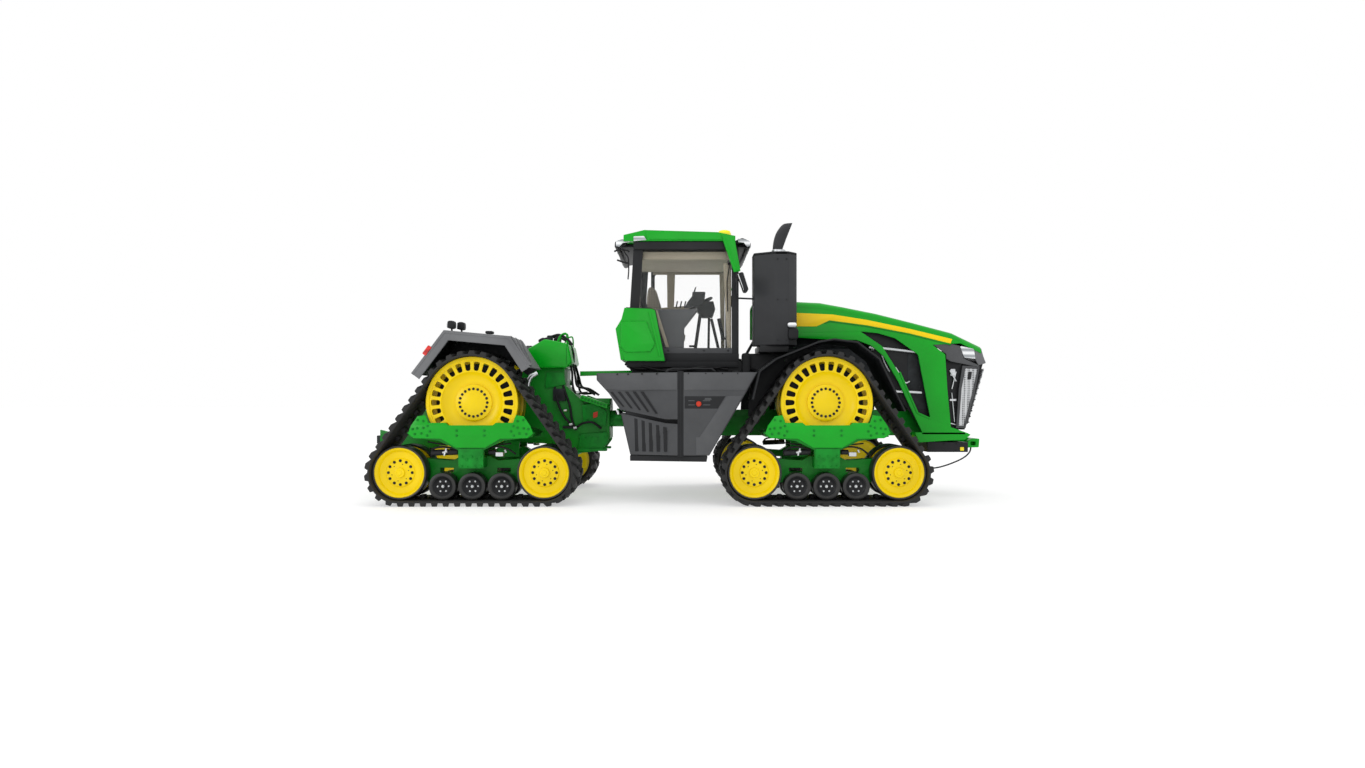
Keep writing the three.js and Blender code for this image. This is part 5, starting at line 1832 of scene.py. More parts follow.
@dataclass
class SideTank:
    """A moulded cover over a fuel tank, with louvres, a strap and a steel base."""

    side: Side
    body: str = "front_chassis"
    outer: float = -1.350
    inner: float = -0.620
    taper_start: float = -0.060
    taper: float = 0.34

    def put(self, name: str, mesh: Mesh, finish: Finish, replaces: Sequence[str] = ()) -> None:
        """Draws a shape's outer face in towards the back and places it on its side."""
        for vertex in mesh.vertices:
            behind = max(self.taper_start - vertex.co.x, 0.0)
            if vertex.co.y < -1.0:
                vertex.co.y += self.taper * behind
        piece(f"{name}_{self.side.word}", mirrored(mesh, self.side), finish, self.body, replaces)

    def build_panels(self) -> None:
        """The large moulded panels and the steel base."""
        node = f"fuel_tank_{self.side.word}"
        front = plate(
            rounded(pairs(84, 1759, 1070, 1759, 427, 657, 84, 657), 0.012), self.outer, self.inner,
            bevel=0.010,
        )
        self.put("tank_front_panel", front, GREY_PANEL, [node])
        rear = plate(
            rounded(
                pairs(-1100, 1759, 10, 1759, 10, 1135, -154, 1135, -770, 1262, -925, 1481, -1100, 1665), 0.010
            ),
            self.outer, self.inner, bevel=0.010,
        )
        self.put("tank_rear_panel", rear, GREY_PANEL)
        lower = plate(
            rounded(pairs(-762, 1215, -154, 1085, 10, 1075, 10, 657, -630, 657), 0.010), self.outer,
            self.inner, bevel=0.010,
        )
        self.put("tank_lower_panel", lower, GREY_PANEL)
        core = plate(
            pairs(-950, 1700, 900, 1700, 400, 660, -610, 660, -700, 1240, -860, 1470), self.outer + 0.016,
            self.inner + 0.01,
        )
        self.put("tank_core", core, BLACK_PLASTIC)
        base = plate(
            rounded(pairs(-634, 574, 392, 574, 405, 652, -634, 652), 0.012), self.outer + 0.002, self.inner,
            bevel=0.008,
        )
        self.put("tank_base", base, BLACK_PAINT)

    def build_relief(self) -> None:
        """The top band and the front facet, in a lighter grey that is painted highlight where the cover's top
        and chamfer turn to the light; then the louvres and the strap.
        """
        # Painted highlight: the top band and the diagonal front facet are flat lighter-grey plates laid on
        # the cover.
        band = plate(
            pairs(92, 1752, 1055, 1752, 915, 1525, 92, 1525), self.outer - 0.004, self.outer + 0.01,
            bevel=0.004,
        )
        self.put("tank_front_band", band, FENDER_DARK)
        band = plate(
            pairs(-1085, 1750, 0, 1752, 0, 1525, -505, 1525, -620, 1520, -970, 1540, -1085, 1660),
            self.outer - 0.004, self.outer + 0.01, bevel=0.004,
        )
        self.put("tank_rear_band", band, FENDER_DARK)
        facet = plate(
            pairs(660, 1445, 868, 1445, 424, 668, 255, 668, 250, 900, 300, 900), self.outer - 0.004,
            self.outer + 0.01, bevel=0.004,
        )
        self.put("tank_front_facet", facet, FENDER_DARK)
        slots = []
        for k in range(5):
            top = (-0.915 + 0.105 * k, 1.505)
            end = (-0.735 + 0.112 * k, 1.300 - 0.022 * k)
            slots.append(
                plate(
                    [(top[0], top[1]), (top[0] + 0.044, top[1]), (end[0] + 0.030, end[1]), (end[0], end[1])],
                    self.outer - 0.0015, self.outer + 0.02, bevel=0.004,
                )
            )
        for k in range(5):
            x = -0.575 + 0.098 * k
            high = 1.150 - 0.028 * k
            slots.append(
                plate(
                    [
                        (x, high), (x + 0.046, high - 0.01), (x + 0.050 + 0.01 * (4 - k) / 4, 0.705),
                        (x + 0.012, 0.705),
                    ],
                    self.outer - 0.0015, self.outer + 0.02, bevel=0.004,
                )
            )
        self.put("tank_louvres", joined(slots), BLACK_PLASTIC)
        strap = plate(
            pairs(6, 1772, 90, 1772, 90, 640, 6, 640), self.outer + 0.004, self.outer + 0.02, bevel=0.003
        )
        ridge = plate(
            pairs(34, 1775, 62, 1775, 62, 640, 34, 640), self.outer - 0.004, self.outer + 0.02, bevel=0.004
        )
        self.put("tank_strap", joined([strap, ridge]), BLACK_PLASTIC)

    def build_recess(self) -> None:
        """The switch recess with its cap."""
        pocket = plate(
            pairs(100, 1442, 640, 1442, 540, 1278, 100, 1278), self.outer - 0.002, self.outer + 0.02,
            bevel=0.003,
        )
        self.put("switch_recess", pocket, BLACK_PAINT)
        vents = [
            plate(
                [(0.15, z), (0.235, z), (0.235, z + 0.014), (0.15, z + 0.014)], self.outer - 0.006,
                self.outer + 0.01, bevel=0.002,
            )
            for z in (1.375, 1.32)
        ]
        vents += [
            plate(
                [(0.34, z), (0.44, z), (0.44, z + 0.014), (0.34, z + 0.014)], self.outer - 0.006,
                self.outer + 0.01, bevel=0.002,
            )
            for z in (1.375, 1.32)
        ]
        vents += [
            plate(
                rounded(pairs(360, 1390, 460, 1390, 450, 1420, 370, 1420), 0.006), self.outer - 0.006,
                self.outer + 0.01, bevel=0.002,
            )
        ]
        self.put("recess_labels_blank", joined(vents), GREY_PANEL)
        cap = lathe(pairs(0, -30, 26, -30, 34, -22, 36, 0, 0, 0), (0.287, self.outer - 0.002, 1.340), 32)
        self.put("battery_switch", cap, CAP_RED)

    def build_steps(self) -> None:
        """The ladder in the left-hand tank."""
        treads = []
        for k in range(4):
            z = 0.640 + 0.290 * k
            treads.append(
                block((-0.03, self.outer - 0.03 + 0.01 * k, z), (0.500, self.outer + 0.16, z + 0.03), 0.006)
            )
        self.put("step_treads", joined(treads), BLACK_PAINT)
        bumps = [
            ((-0.01 + 0.045 * i, self.outer - 0.01 + 0.04 * j, 0.671 + 0.29 * k), (0.0, 0.0, 0.0))
            for i in range(12) for j in range(4) for k in range(4)
        ]
        nub = lathe(pairs(0, 0, 9, 0, 7, 6, 0, 6), (0, 0, 0), 8, "Z")
        self.put("step_grips", REPEAT.run(nub, bumps, PLATED), PLATED)
        rails = [
            SWEEP.run(
                [
                    (x, self.outer - 0.02, 1.90), (x, self.outer - 0.10, 1.84), (x, self.outer - 0.11, 1.55),
                    (x, self.outer - 0.02, 1.48),
                ],
                0.014, BLACK_PAINT,
            )
            for x in (-0.05, 0.55)
        ]
        self.put("step_rails", joined(rails), BLACK_PAINT)

    def build_top(self) -> None:
        """The rail and fasteners along the top."""
        rail = pairs(
            -165, 1755, -135, 1800, -55, 1822, 470, 1818, 530, 1765, 500, 1765, 455, 1800, -50, 1803, -110,
            1785, -130, 1755,
        )
        self.put("tank_top_rail", plate(rail, -1.30, -1.24, bevel=0.005), BLACK_PAINT)
        studs = [
            ((dx - 0.81, self.outer - 0.001, 1.741), ORIGIN)
            for dx in (0, 0.15, 0.34, 0.54, 0.96, 1.19, 1.41, 1.61)
        ]
        self.put("tank_top_studs", REPEAT.run(bolt_head(0.009), studs, DARK_BOLT), DARK_BOLT)
        neck = lathe(pairs(0, 0, 55, 0, 55, 20, 45, 30, 0, 30), (0.80, -1.10, 1.756), 32, "Z")
        self.put("fuel_filler", neck, BLACK_PLASTIC)

    def build(self) -> None:
        """Builds one side's tank."""
        self.build_panels()
        self.build_relief()
        if self.side is Side.RIGHT:
            self.build_recess()
        else:
            self.build_steps()
        self.build_top()


@dataclass
class Fenders:
    """The four fenders with their lips, ribs and lamps."""

    front_line: tuple[Point, ...] = (
        (0.985, 1.400), (1.075, 1.775), (1.300, 1.943), (1.860, 2.166), (2.060, 2.200), (2.373, 2.161),
        (2.663, 1.939), (3.000, 1.250),
    )
    rear_line: tuple[Point, ...] = ((-3.460, 1.740), (-3.035, 2.302), (-2.170, 2.223), (-1.911, 1.825))

    def under(self, line: Outline, depth: float, lift: float = 0.0) -> list[Point]:
        """A band of even depth under an open line.

        Args:
            line: Its upper edge, from back to front.
            depth: The band's depth.
            lift: How far the upper edge is raised.

        Returns:
            A closed outline.
        """
        pts = [Vector(p) for p in line]
        normals = []
        for i, point in enumerate(pts):
            a = (point - pts[max(i - 1, 0)]) if i else (pts[1] - point)
            b = (pts[i + 1] - point) if i + 1 < len(pts) else a
            a, b = a.normalized(), b.normalized()
            n = Vector((a.y + b.y, -a.x - b.x)).normalized()
            normals.append(n / max(n.dot(Vector((a.y, -a.x))), 0.3))
        upper = [p - n * lift for p, n in zip(pts, normals)]
        lower = [p + n * depth for p, n in zip(pts, normals)]
        return [tuple(p) for p in upper] + [tuple(p) for p in lower[::-1]]

    def build_front(self, side: Side) -> None:
        """A black fender with a turned-down edge."""
        sheet = plate(self.under(self.front_line, 0.020), -1.428, -0.700, bevel=0.004)
        lip = plate(self.under(self.front_line, 0.024), -1.430, -1.412, bevel=0.005)
        name = f"front_fender_{side.word}"
        piece(
            f"front_fender_sheet_{side.word}", mirrored(joined([sheet, lip]), side), BLACK_PLASTIC,
            "front_chassis", [name],
        )
        flank = plate(
            pairs(
                1000, 1400, 1090, 1765, 1300, 1925, 1860, 2146, 2060, 2180, 1800, 2020, 1550, 1840, 1300,
                1520, 1160, 1200, 990, 1160,
            ),
            -0.735, -0.715,
        )
        piece(f"front_fender_inner_{side.word}", mirrored(flank, side), BLACK_PLASTIC, "front_chassis")

    def build_rear(self, side: Side) -> None:
        """A grey fender with a stepped front edge, a deep lip and its lamps."""
        sheet = plate(self.under(self.rear_line, 0.020), -1.498, -0.700, bevel=0.005)
        lip = plate(self.under(self.rear_line, 0.128), -1.500, -1.462, bevel=0.014)
        rib = plate(self.under(self.rear_line, 0.038, -0.020), -1.506, -1.47, bevel=0.006)
        name = f"rear_fender_{side.word}"
        piece(
            f"rear_fender_sheet_{side.word}", mirrored(joined([sheet, lip, rib]), side), FENDER_GREY,
            "rear_chassis", [name],
        )
        lining = plate(self.under(self.rear_line, 0.026, -0.020), -1.460, -0.702, bevel=0.004)
        wall = plate(
            pairs(
                -3430, 1745, -3015, 2280, -2180, 2202, -1935, 1830, -2100, 1740, -2350, 1950, -2950, 1980,
                -3250, 1720,
            ),
            -0.716, -0.700, bevel=0.003,
        )
        piece(
            f"rear_fender_lining_{side.word}", mirrored(joined([lining, wall]), side), BLACK_PLASTIC,
            "rear_chassis",
        )
        steps = [
            plate(
                [
                    (-2.165 + shift, 2.232 - 0.4 * shift), (-2.135 + shift, 2.205 - 0.4 * shift),
                    (-1.90, 1.845), (-1.935, 1.845),
                ],
                -1.49 + shift, -1.45 + shift, bevel=0.005,
            )
            for shift in (0.0, 0.05, 0.10)
        ]
        piece(f"fender_front_steps_{side.word}", mirrored(joined(steps), side), FENDER_GREY, "rear_chassis")
        tail = block((-3.32, -1.512, 2.008), (-3.18, -1.470, 2.064), 0.008)
        turn = Matrix.Translation((-3.25, 0, 2.036)) @ Matrix.Rotation(
            math.radians(-53), 4, "Y"
        ) @ Matrix.Translation((3.25, 0, -2.036))
        piece(f"tail_lamp_{side.word}", mirrored(moved(tail, turn), side), RED, "rear_chassis")
        lamps = []
        lenses = []
        for x, y in ((-2.985, -1.30), (-2.905, -1.12)):
            lamps.append(block((x - 0.045, y - 0.06, 2.335), (x + 0.045, y + 0.06, 2.44), 0.014))
            lenses.append(block((x - 0.054, y - 0.05, 2.345), (x - 0.043, y + 0.05, 2.43), 0.004))
            lamps.append(rod((x, y, 2.285), (x, y, 2.34), 0.012))
        piece(f"work_lamps_{side.word}", mirrored(joined(lamps), side), BLACK_PLASTIC, "rear_chassis")
        piece(f"work_lamp_lenses_{side.word}", mirrored(joined(lenses), side), LAMP, "rear_chassis")
        amber = block((-2.52, -1.40, 2.262), (-2.42, -1.30, 2.30), 0.01)
        piece(f"side_marker_{side.word}", mirrored(amber, side), BLACK_PLASTIC, "rear_chassis")

    def build(self) -> None:
        """Builds all four fenders."""
        for side in Side:
            self.build_front(side)
            self.build_rear(side)


# ------------------------------------------------------------------ cab


@dataclass
class Cab:
    """The cab: posts, roof, lamps, glass, door, trim, seat and controls."""

    body: str = "front_chassis"
    half: float = 0.860

    def build_posts(self) -> None:
        """The CAD cab's steelwork with softened edges, its sill and its bolts."""
        console = ((-0.31, -0.76, 1.957), (0.30, -0.42, 2.67), GREY_PANEL)
        posts = recoloured(softened("cab_frame", 0.008), BLACK_PLASTIC, [console])
        piece("cab_posts", posts, BLACK_PLASTIC, self.body, ["cab_frame"])
        for side in Side:
            if side is Side.RIGHT:
                sill = plate(pairs(-186, 2036, 760, 2036, 760, 2112, -200, 2112), -0.864, -0.80, bevel=0.003)
                piece("sill_band_right", sill, GREY_PANEL, self.body)
                under = plate(pairs(-168, 1930, 854, 1930, 854, 2034, -186, 2034), -0.868, -0.80, bevel=0.004)
                piece("sill_lower_right", under, BLACK_PLASTIC, self.body)
                bolts(
                    "sill_bolts_right", [(x, -0.864, 2.075) for x in (-0.125, 0.37, 0.705)], self.body, 0.010
                )
            header = plate(pairs(-600, 3465, 800, 3465, 800, 3575, -600, 3575), -0.905, -0.858, bevel=0.01)
            piece(f"headliner_band_{side.word}", mirrored(header, side), BLACK_PLASTIC, self.body)

    def build_roof(self) -> None:
        """The roof cap, corner fins, light bars, lamps and beacon."""
        piece("roof_cap", softened("cab_roof", 0.022), GREEN, self.body, ["cab_roof"])
        for side in Side:
            skirt = plate(
                pairs(-440, 3715, 580, 3690, 620, 3592, -365, 3600, -400, 3574), -0.932, -0.915, bevel=0.006
            )
            piece(f"roof_skirt_{side.word}", mirrored(skirt, side), GREEN, self.body)
            lamp = plate(
                rounded(pairs(-600, 3640, -455, 3645, -420, 3590, -600, 3575), 0.01), -0.935, -0.90,
                bevel=0.006,
            )
            piece(f"roof_side_lamp_{side.word}", mirrored(lamp, side), LAMP, self.body)
            fin_edge = plate(pairs(665, 3610, 700, 3610, 853, 3172, 825, 3162), -0.972, -0.955, bevel=0.006)
            piece(f"fin_edge_{side.word}", mirrored(fin_edge, side), GREEN, self.body)
        for end, shape, lens in (
            (
                "front",
                [
                    (0.80, 3.600), (0.90, 3.640), (0.975, 3.610), (1.023, 3.566), (1.010, 3.505),
                    (0.965, 3.500), (0.955, 3.545), (0.90, 3.580), (0.80, 3.560),
                ],
                [
                    (1.005, 3.521), (1.013, 3.575), (0.985, 3.600), (0.930, 3.615), (0.837, 3.622),
                    (0.844, 3.577), (0.919, 3.570), (0.968, 3.510),
                ],
            ),
            (
                "rear",
                [
                    (-0.70, 3.600), (-0.80, 3.615), (-0.864, 3.585), (-0.866, 3.510), (-0.815, 3.495),
                    (-0.80, 3.535), (-0.70, 3.555),
                ],
                [
                    (-0.847, 3.521), (-0.847, 3.588), (-0.772, 3.615), (-0.641, 3.615), (-0.652, 3.577),
                    (-0.753, 3.566), (-0.802, 3.510),
                ],
            ),
        ):
            bar = plate(rounded(shape, 0.02, 3), -0.84, 0.84, bevel=0.012)
            piece(f"{end}_light_bar", bar, BLACK_PLASTIC, self.body)
            ends = joined([plate(lens, y - 0.010, y + 0.010, bevel=0.003) for y in (-0.848, 0.848)])
            piece(f"{end}_bar_end_lamps", ends, LAMP, self.body)
            reach = 1.012 if end == "front" else -0.862
            lamp = block((-0.012, -0.085, -0.028), (0.012, 0.085, 0.028), 0.008)
            places = [((reach, y, 3.545), (0.0, 0.0, 0.0)) for y in (-0.70, -0.48, -0.26, 0.26, 0.48, 0.70)]
            piece(f"{end}_bar_lamps", REPEAT.run(lamp, places, LAMP), LAMP, self.body)
        dome = lathe(pairs(0, 0, 95, 0, 94, 50, 80, 85, 50, 98, 0, 102), (0.66, -0.72, 3.668), 48, "Z")
        piece("beacon", dome, BEACON, self.body)
        receiver = lathe(pairs(0, 0, 120, 0, 125, 30, 80, 60, 0, 65), (0.60, 0.0, 3.69), 48, "Z")
        piece("roof_receiver", receiver, YELLOW, self.body)
        wires = [
            SWEEP.run(
                triples(-870, -840, 3450, -800, -860, 3470, -700, -860, 3460, -660, -860, 3440), 0.012, HOSE
            ),
            SWEEP.run([(-0.83, -0.84, 3.33), (-0.75, -0.86, 3.30), (-0.67, -0.86, 3.28)], 0.012, HOSE),
            SWEEP.run(
                triples(
                    -760, -840, 3500, -720, -860, 3420, -680, -860, 3360, -670, -860, 3200, -680, -860, 3060
                ),
                0.009, HOSE,
            ),
        ]
        piece("rear_lamp_brackets", joined(wires), HOSE, self.body)

    def build_glass(self) -> None:
        """The windscreen, right-hand side and rear glass with their seals."""
        panes = [
            plate(
                [(-0.843 + 0.045, 1.960), (0.795, 1.960), (0.795, 3.455), (-0.798, 3.455)], 0.740, 0.746,
                Plane.CROSS, bevel=0.002,
            ),
            plate(
                pairs(-798, 1960, 798, 1960, 798, 3455, -798, 3455), -0.585, -0.579, Plane.CROSS, bevel=0.002
            ),
            plate(pairs(-575, 1960, 737, 1960, 737, 3455, -575, 3455), -0.803, -0.797, bevel=0.002),
        ]
        piece("cab_glass", joined(panes), GLASS, self.body, ["cab_glazing"])
        wiper = joined(
            [
                rod((0.700, -0.815, 3.28), (0.735, -0.815, 3.285), 0.018),
                rod((0.725, -0.815, 3.27), (0.69, -0.815, 3.02), 0.007),
                rod((0.69, -0.815, 3.02), (0.70, -0.815, 2.62), 0.007),
            ]
        )
        piece("side_wiper", wiper, BLACK_PAINT, self.body)

    def build_trim(self) -> None:
        """The warm grey inner trim, the side console and the shelf behind the seat."""
        near = [
            plate(pairs(640, 3300, 745, 3300, 752, 1975, 700, 1975), -0.795, -0.755, bevel=0.008),
            plate(pairs(-575, 3300, -500, 3300, -520, 2660, -590, 2660), -0.795, -0.755, bevel=0.008),
            plate(pairs(-575, 3345, 740, 3345, 740, 3455, -575, 3455), -0.795, -0.755, bevel=0.008),
            plate(pairs(-330, 2655, -275, 2640, -115, 2130, -160, 2130), -0.795, -0.765, bevel=0.006),
        ]
        piece("inner_trim_near", joined(near), TRIM, self.body)
        ceiling = plate(
            pairs(-570, -790, 735, -790, 735, 790, -570, 790), 3.430, 3.458, Plane.PLAN, bevel=0.010
        )
        piece("cab_headliner", ceiling, HEADLINER, self.body)
        far = [
            plate(pairs(660, 3420, 735, 3420, 735, 1975, 690, 1975), 0.770, 0.795, bevel=0.008),
            plate(pairs(-560, 2720, 200, 2800, 200, 2860, -560, 2800), 0.45, 0.78, bevel=0.01),
        ]
        piece("inner_trim_far", joined(far), TRIM, self.body)
        shelf = plate(pairs(-560, 2550, -400, 2550, -400, 2600, -560, 2620), -0.75, 0.75, bevel=0.01)
        piece("rear_shelf", shelf, TRIM, self.body)

    def build_controls(self) -> None:
        """The armrest monitor, the column, the pedals and the steering wheel."""
        monitor = joined(
            [
                plate(
                    rounded(pairs(215, 2955, 405, 2955, 395, 2860, 350, 2760, 200, 2750), 0.02), -0.40, -0.34,
                    bevel=0.01,
                ),
                plate(
                    rounded(pairs(290, 2840, 530, 2860, 560, 2740, 520, 2620, 360, 2620, 280, 2720), 0.02),
                    -0.10, 0.10, bevel=0.02,
                ),
                plate(pairs(255, 3020, 275, 3030, 250, 2940, 225, 2940), -0.385, -0.365, bevel=0.004),
                plate(pairs(100, 2720, 200, 2740, 320, 2900, 240, 2930, 140, 2800), -0.4, -0.3, bevel=0.012),
            ]
        )
        piece("controls_and_monitor", monitor, BLACK_PLASTIC, self.body)
        stalks = joined(
            [
                rod((0.62, 0.10, 2.62), (0.69, 0.10, 2.30), 0.03),
                rod((0.47, 0.05, 2.64), (0.46, 0.05, 2.02), 0.018),
                rod((0.17, -0.10, 2.19), (0.27, -0.10, 2.19), 0.016),
                rod((0.50, -0.05, 2.60), (0.62, -0.05, 2.10), 0.022),
            ]
        )
        piece("column_and_pedals", stalks, BLACK_PLASTIC, self.body)
        levers = joined([rod((x, -0.30, 2.74), (x + 0.02, -0.30, 2.83), 0.010) for x in (-0.02, 0.04, 0.10)])
        piece("console_levers", levers, BLACK_PLASTIC, self.body)
        piece(
            "steering_wheel_rim", softened("steering_wheel", 0.004), BLACK_PLASTIC, "hand_wheel",
            ["steering_wheel"],
        )

    def build_door(self) -> None:
        """The left-hand door with its bar, handle, hinges and glass."""
        low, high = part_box("cab_door")
        y0, y1 = self.half - 0.050, self.half - 0.005
        z0, z1 = low.z, high.z
        x0, x1 = low.x, high.x
        leaf = plate(
            rounded([(x0, z0), (x1, z0), (x1, z1), (x0, z1)], 0.03), y0, y1,
            holes=[
                rounded(
                    [
                        (x0 + 0.06, z0 + 0.09), (x1 - 0.06, z0 + 0.09), (x1 - 0.06, z1 - 0.05),
                        (x0 + 0.06, z1 - 0.05),
                    ],
                    0.05,
                )
            ],
            bevel=0.008,
        )
        piece("door_frame", leaf, BLACK_PLASTIC, "door", ["cab_door"])
        pane = plate(
            [(x0 + 0.05, z0 + 0.08), (x1 - 0.05, z0 + 0.08), (x1 - 0.05, z1 - 0.04), (x0 + 0.05, z1 - 0.04)],
            y0 + 0.018, y0 + 0.026, bevel=0.002,
        )
        piece("door_glass", pane, GLASS, "door")
        bar = plate(
            [(-0.175, z1 - 0.045), (-0.045, z1 - 0.045), (-0.09, z0 + 0.09), (-0.16, z0 + 0.09)], y0 - 0.012,
            y0 + 0.012, bevel=0.008,
        )
        head = plate(
            [
                (x0 + 0.03, z1 - 0.060), (x1 - 0.03, z1 - 0.060), (x1 - 0.03, z1 - 0.005),
                (x0 + 0.03, z1 - 0.005),
            ],
            y0 - 0.010, y0 + 0.004, bevel=0.003,
        )
        piece("door_inner_bar", joined([bar, head]), TRIM, "door")
        handle = joined(
            [
                block((x1 - 0.07, y1 - 0.004, 2.50), (x1 - 0.04, y1 + 0.045, 2.68), 0.010),
                rod((x0 + 0.02, y1, 2.25), (x0 + 0.02, y1, 2.40), 0.022),
                rod((x0 + 0.02, y1, 3.05), (x0 + 0.02, y1, 3.20), 0.022),
            ]
        )
        piece("door_handle_and_hinges", handle, BLACK_PAINT, "door")

    def build_cover(self) -> None:
        """The green corner covers with their raised panels."""
        piece("rear_cover", softened("cab_rear_cover", 0.020), GREEN, self.body, ["cab_rear_cover"])
        raised = plate(
            rounded(pairs(-760, 2460, -420, 2470, -300, 2160, -360, 2050, -700, 2040, -775, 2120), 0.02),
            -1.030, -0.985, bevel=0.016,
        )
        piece("rear_cover_panel_right", raised, GREEN, self.body)
        rib = joined(
            [plate(pairs(-395, 2600, -360, 2600, -215, 1990, -250, 1990), -1.012, -0.99, bevel=0.008)]
        )
        piece("rear_cover_rib_right", rib, GREEN, self.body)
        seal = plate(
            pairs(
                -700, 2660, -345, 2648, -290, 2618, -155, 1927, -175, 1927, -310, 2600, -360, 2628, -700, 2640
            ),
            -0.99, -0.862, bevel=0.003,
        )
        piece("rear_cover_seal_right", seal, BLACK_PLASTIC, self.body)

    def cushion(self, name: str, mesh: Mesh, limit: float) -> Object:
        """Swells a closed form into a cushion with a short cloth simulation.

        Args:
            name: The piece's name.
            mesh: The cut form, a little smaller than the cushion.
            limit: How far a point may move.

        Returns:
            The padded piece.
        """
        holder = placed(name, mesh)
        remesh = holder.modifiers.new("even", "REMESH")
        remesh.mode = "VOXEL"
        remesh.voxel_size = 0.009
        even = evaluated(holder)
        holder.modifiers.remove(remesh)
        holder.data = even
        start = [v.co.copy() for v in even.vertices]
        cloth = holder.modifiers.new("swell", "CLOTH")
        cloth.settings.use_pressure = True
        cloth.settings.uniform_pressure_force = 4.0
        cloth.settings.effector_weights.gravity = 0.0
        scene = bpy.context.scene
        for step in range(1, 21):
            scene.frame_set(step)
        swollen = evaluated(holder)
        for vertex, before in zip(swollen.vertices, start):
            shift = vertex.co - before
            if shift.length > limit:
                vertex.co = before + shift.normalized() * limit
        holder.modifiers.remove(cloth)
        holder.data = swollen
        scene.frame_set(1)
        smooth = holder.modifiers.new("smooth", "SUBSURF")
        smooth.levels = smooth.render_levels = 1
        final = evaluated(holder)
        bpy.data.objects.remove(holder)
        made = piece(name, final, CLOTH, "operator_seat", smooth=80.0)
        return made

    def build_seat(self) -> None:
        """The seat's base, shell, cushions and armrest."""
        base = joined(
            [
                block((-0.33, -0.19, 1.96), (0.06, 0.19, 2.04), 0.012),
                *[
                    block(
                        (-0.30 + 0.012 * k, -0.17, 2.045 + 0.032 * k),
                        (0.03 - 0.012 * k, 0.17, 2.07 + 0.032 * k), 0.010,
                    )
                    for k in range(6)
                ],
                block((-0.33, -0.20, 2.225), (0.08, 0.20, 2.262), 0.012),
            ]
        )
        piece("seat_base", base, BLACK_PLASTIC, "operator_seat", ["seat"])
        seat = plate(
            rounded(pairs(-355, 2285, 125, 2285, 135, 2355, -355, 2345), 0.02), -0.245, 0.245, bevel=0.025
        )
        self.cushion("seat_cushion", seat, 0.022)
        back = plate(
            rounded(
                pairs(-390, 2395, -215, 2395, -250, 2740, -335, 3030, -370, 3060, -420, 3060, -445, 2800),
                0.02,
            ),
            -0.225, 0.225, bevel=0.025,
        )
        self.cushion("seat_back_cushion", back, 0.016)
        shell = plate(pairs(-455, 2300, -420, 2300, -440, 2800, -470, 2800), -0.20, 0.20, bevel=0.010)
        arm = block((-0.26, -0.33, 2.56), (0.12, -0.275, 2.62), 0.015)
        post = block((-0.35, -0.325, 2.40), (-0.26, -0.285, 2.60), 0.012)
        piece("seat_shell_and_arm", joined([shell, arm, post]), BLACK_PLASTIC, "operator_seat")

    def build_mirrors(self) -> None:
        """The slanted mirrors on their arms."""
        for side in Side:
            body = f"mirror_{side.word[0]}"
            post = joined(
                [
                    rod((0.823, -0.94, 2.84), (0.823, -0.94, 3.14), 0.020),
                    rod((0.823, -0.94, 3.06), (0.85, -1.10, 3.06), 0.016),
                ]
            )
            piece(f"mirror_arm_{side.word}", mirrored(post, side), BLACK_PAINT, body, [f"mirror_{side.word}"])
            shell = plate(
                rounded(pairs(818, 3085, 880, 3100, 955, 2862, 925, 2838, 893, 2842), 0.02), -1.27, -1.05,
                bevel=0.02,
            )
            piece(f"mirror_shell_{side.word}", mirrored(shell, side), BLACK_PLASTIC, body)
            glass = plate(pairs(812, 3070, 818, 3070, 893, 2858, 887, 2858), -1.255, -1.065, bevel=0.001)
            piece(f"mirror_glass_{side.word}", mirrored(glass, side), MIRROR, body)

    def build_underside(self) -> None:
        """Hoses, mounts and brackets between the cab floor and the deck."""
        mounts = []
        for x in (-0.55, 0.72):
            for y in (-0.62, 0.62):
                mounts.append(lathe(pairs(0, 0, 70, 0, 60, 20, 50, 30, 0, 30), (x, y, 1.84), 24, "Z"))
        piece("cab_mounts", joined(mounts), CAST, self.body)
        for side in Side:
            paths = [
                triples(
                    -720, -800, 1900, -600, -820, 1840, -400, -810, 1830, -100, -800, 1860, 150, -800, 1830
                ),
                triples(
                    -500, -840, 1870, -200, -860, 1800, 100, -860, 1810, 400, -840, 1850, 700, -820, 1820
                ),
                triples(300, -800, 1880, 550, -840, 1840, 750, -800, 1900, 950, -740, 1860, 1100, -700, 1800),
            ]
            hoses = joined([SWEEP.run(path, 0.022, HOSE) for path in paths])
            piece(f"cab_hoses_{side.word}", mirrored(hoses, side), HOSE, self.body)
            boxes = joined(
                [
                    block((-0.66, -0.80, 1.80), (-0.42, -0.70, 1.93), 0.015),
                    block((-0.30, -0.80, 1.79), (0.05, -0.72, 1.925), 0.015),
                    block((0.16, -0.79, 1.78), (0.42, -0.72, 1.915), 0.012),
                    block((0.55, -0.80, 1.77), (0.90, -0.70, 1.93), 0.015),
                    block((0.90, -0.78, 1.60), (1.02, -0.66, 2.05), 0.02),
                ]
            )
            piece(f"cab_underboxes_{side.word}", mirrored(boxes, side), BLACK_PLASTIC, self.body)

    def build(self) -> None:
        """Builds the cab."""
        self.build_posts()
        self.build_roof()
        self.build_glass()
        self.build_trim()
        self.build_controls()
        self.build_door()
        self.build_cover()
        self.build_seat()
        self.build_mirrors()
        self.build_underside()


# ------------------------------------------------------------------ studio


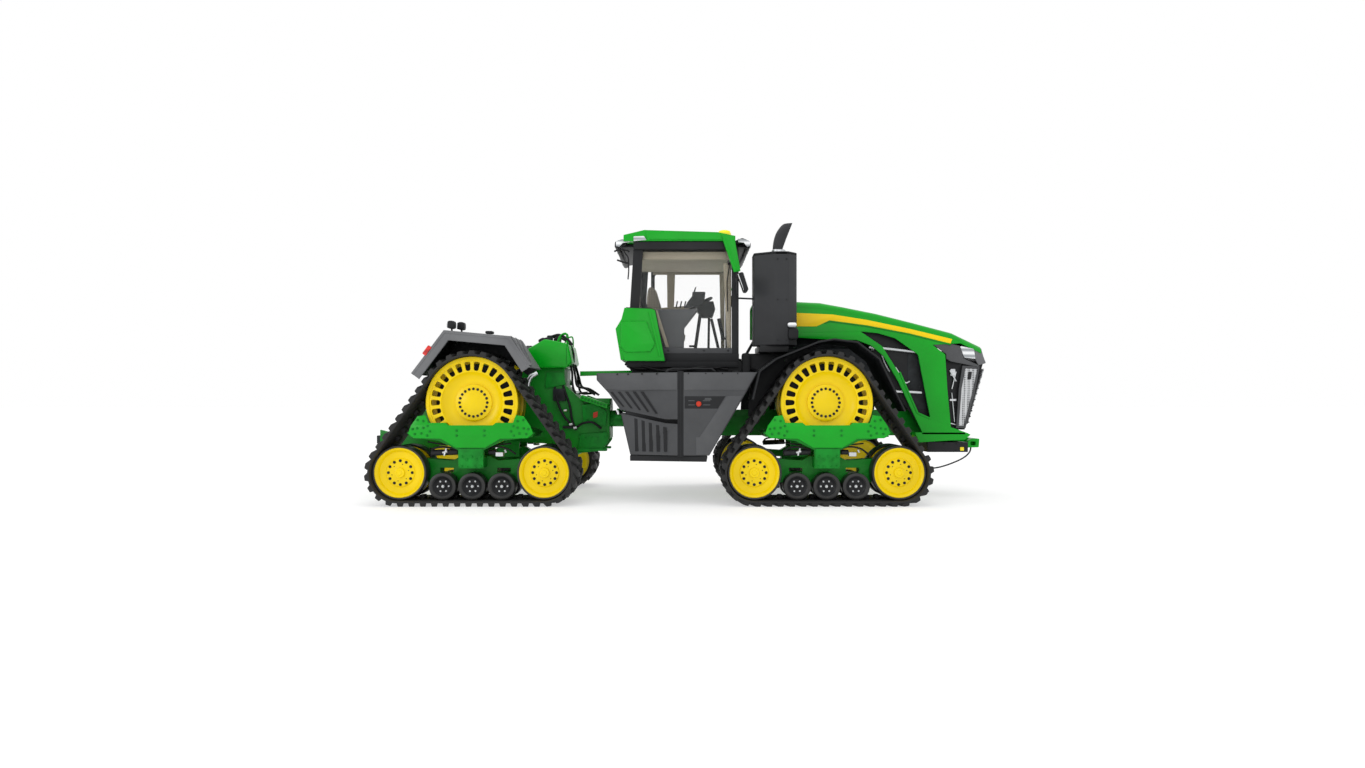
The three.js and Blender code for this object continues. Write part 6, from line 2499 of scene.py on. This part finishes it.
@dataclass
class Studio:
    """A pale floor, soft light and the camera."""

    eye: tuple[float, float, float] = (0.073, -11.7, 1.365)
    lens: float = 20.69
    shift_y: float = 0.0132

    def build_camera(self) -> None:
        """A level camera square to the tractor's right-hand side."""
        camera = bpy.data.cameras.new("camera")
        camera.lens = self.lens
        camera.sensor_width = 36.0
        camera.shift_y = self.shift_y
        camera.clip_end = 200.0
        holder = placed("camera", camera)
        holder.location = self.eye
        holder.rotation_euler = (math.radians(90), 0.0, 0.0)
        bpy.context.scene.camera = holder

    def area(self, name: str, place: Coords, target: Coords, size: float, power: float) -> None:
        """A large soft lamp.

        Args:
            name: Its name.
            place: Where it hangs.
            target: Where it points.
            size: Its width.
            power: Its power in watts.
        """
        lamp = bpy.data.lights.new(name, "AREA")
        lamp.shape = "DISK"
        lamp.size = size
        lamp.energy = power
        holder = placed(name, lamp)
        holder.location = place
        holder.rotation_euler = (Vector(target) - Vector(place)).to_track_quat("-Z", "Y").to_euler()

    def build_floor(self) -> None:
        """A matt white painted floor."""
        floor = plate(
            pairs(-160000, -160000, 160000, -160000, 160000, 160000, -160000, 160000), -0.02, 0.0, Plane.PLAN,
            bevel=0.001,
        )
        holder = placed("studio_floor", floor)
        paint = MouldedPlastic("studio_floor_paint", "c8c8c8", "charcoal", 0.95, pale="cccccc").material()
        shader = paint.node_tree.nodes["Principled BSDF"]
        shader.inputs["Emission Color"].default_value = (1.0, 1.0, 1.0, 1.0)
        shader.inputs["Emission Strength"].default_value = 0.45
        floor.materials.append(paint)

    def build(self) -> None:
        """Builds the studio."""
        self.build_camera()
        self.build_floor()
        world = bpy.data.worlds.new("studio")
        world.use_nodes = True
        world.node_tree.nodes["Background"].inputs["Color"].default_value = (1.0, 1.0, 1.0, 1.0)
        world.node_tree.nodes["Background"].inputs["Strength"].default_value = 1.0
        bpy.context.scene.world = world
        self.area("overhead", (0.0, -1.0, 9.0), (0.0, 0.0, 1.0), 10.0, 150.0)
        self.area("near_fill", (1.5, -10.0, 5.5), (0.0, 0.0, 1.5), 6.0, 50.0)
        self.area("left_fill", (-9.0, -7.0, 3.5), (0.0, -0.5, 2.0), 4.0, 120.0)
        bpy.context.scene.view_settings.view_transform = "Standard"


def main() -> None:
    """Builds the tractor from the ground up."""
    logging.basicConfig(level=logging.INFO, format="%(message)s")
    Studio().build()
    FrontChassis().build()
    RearChassis().build()
    for end in End:
        for side in Side:
            TrackUnit(end, side).build()
    Hood().build()
    EngineBay().build()
    for side in Side:
        SideTank(side).build()
    Fenders().build()
    Cab().build()


if __name__ == "__main__":
    main()
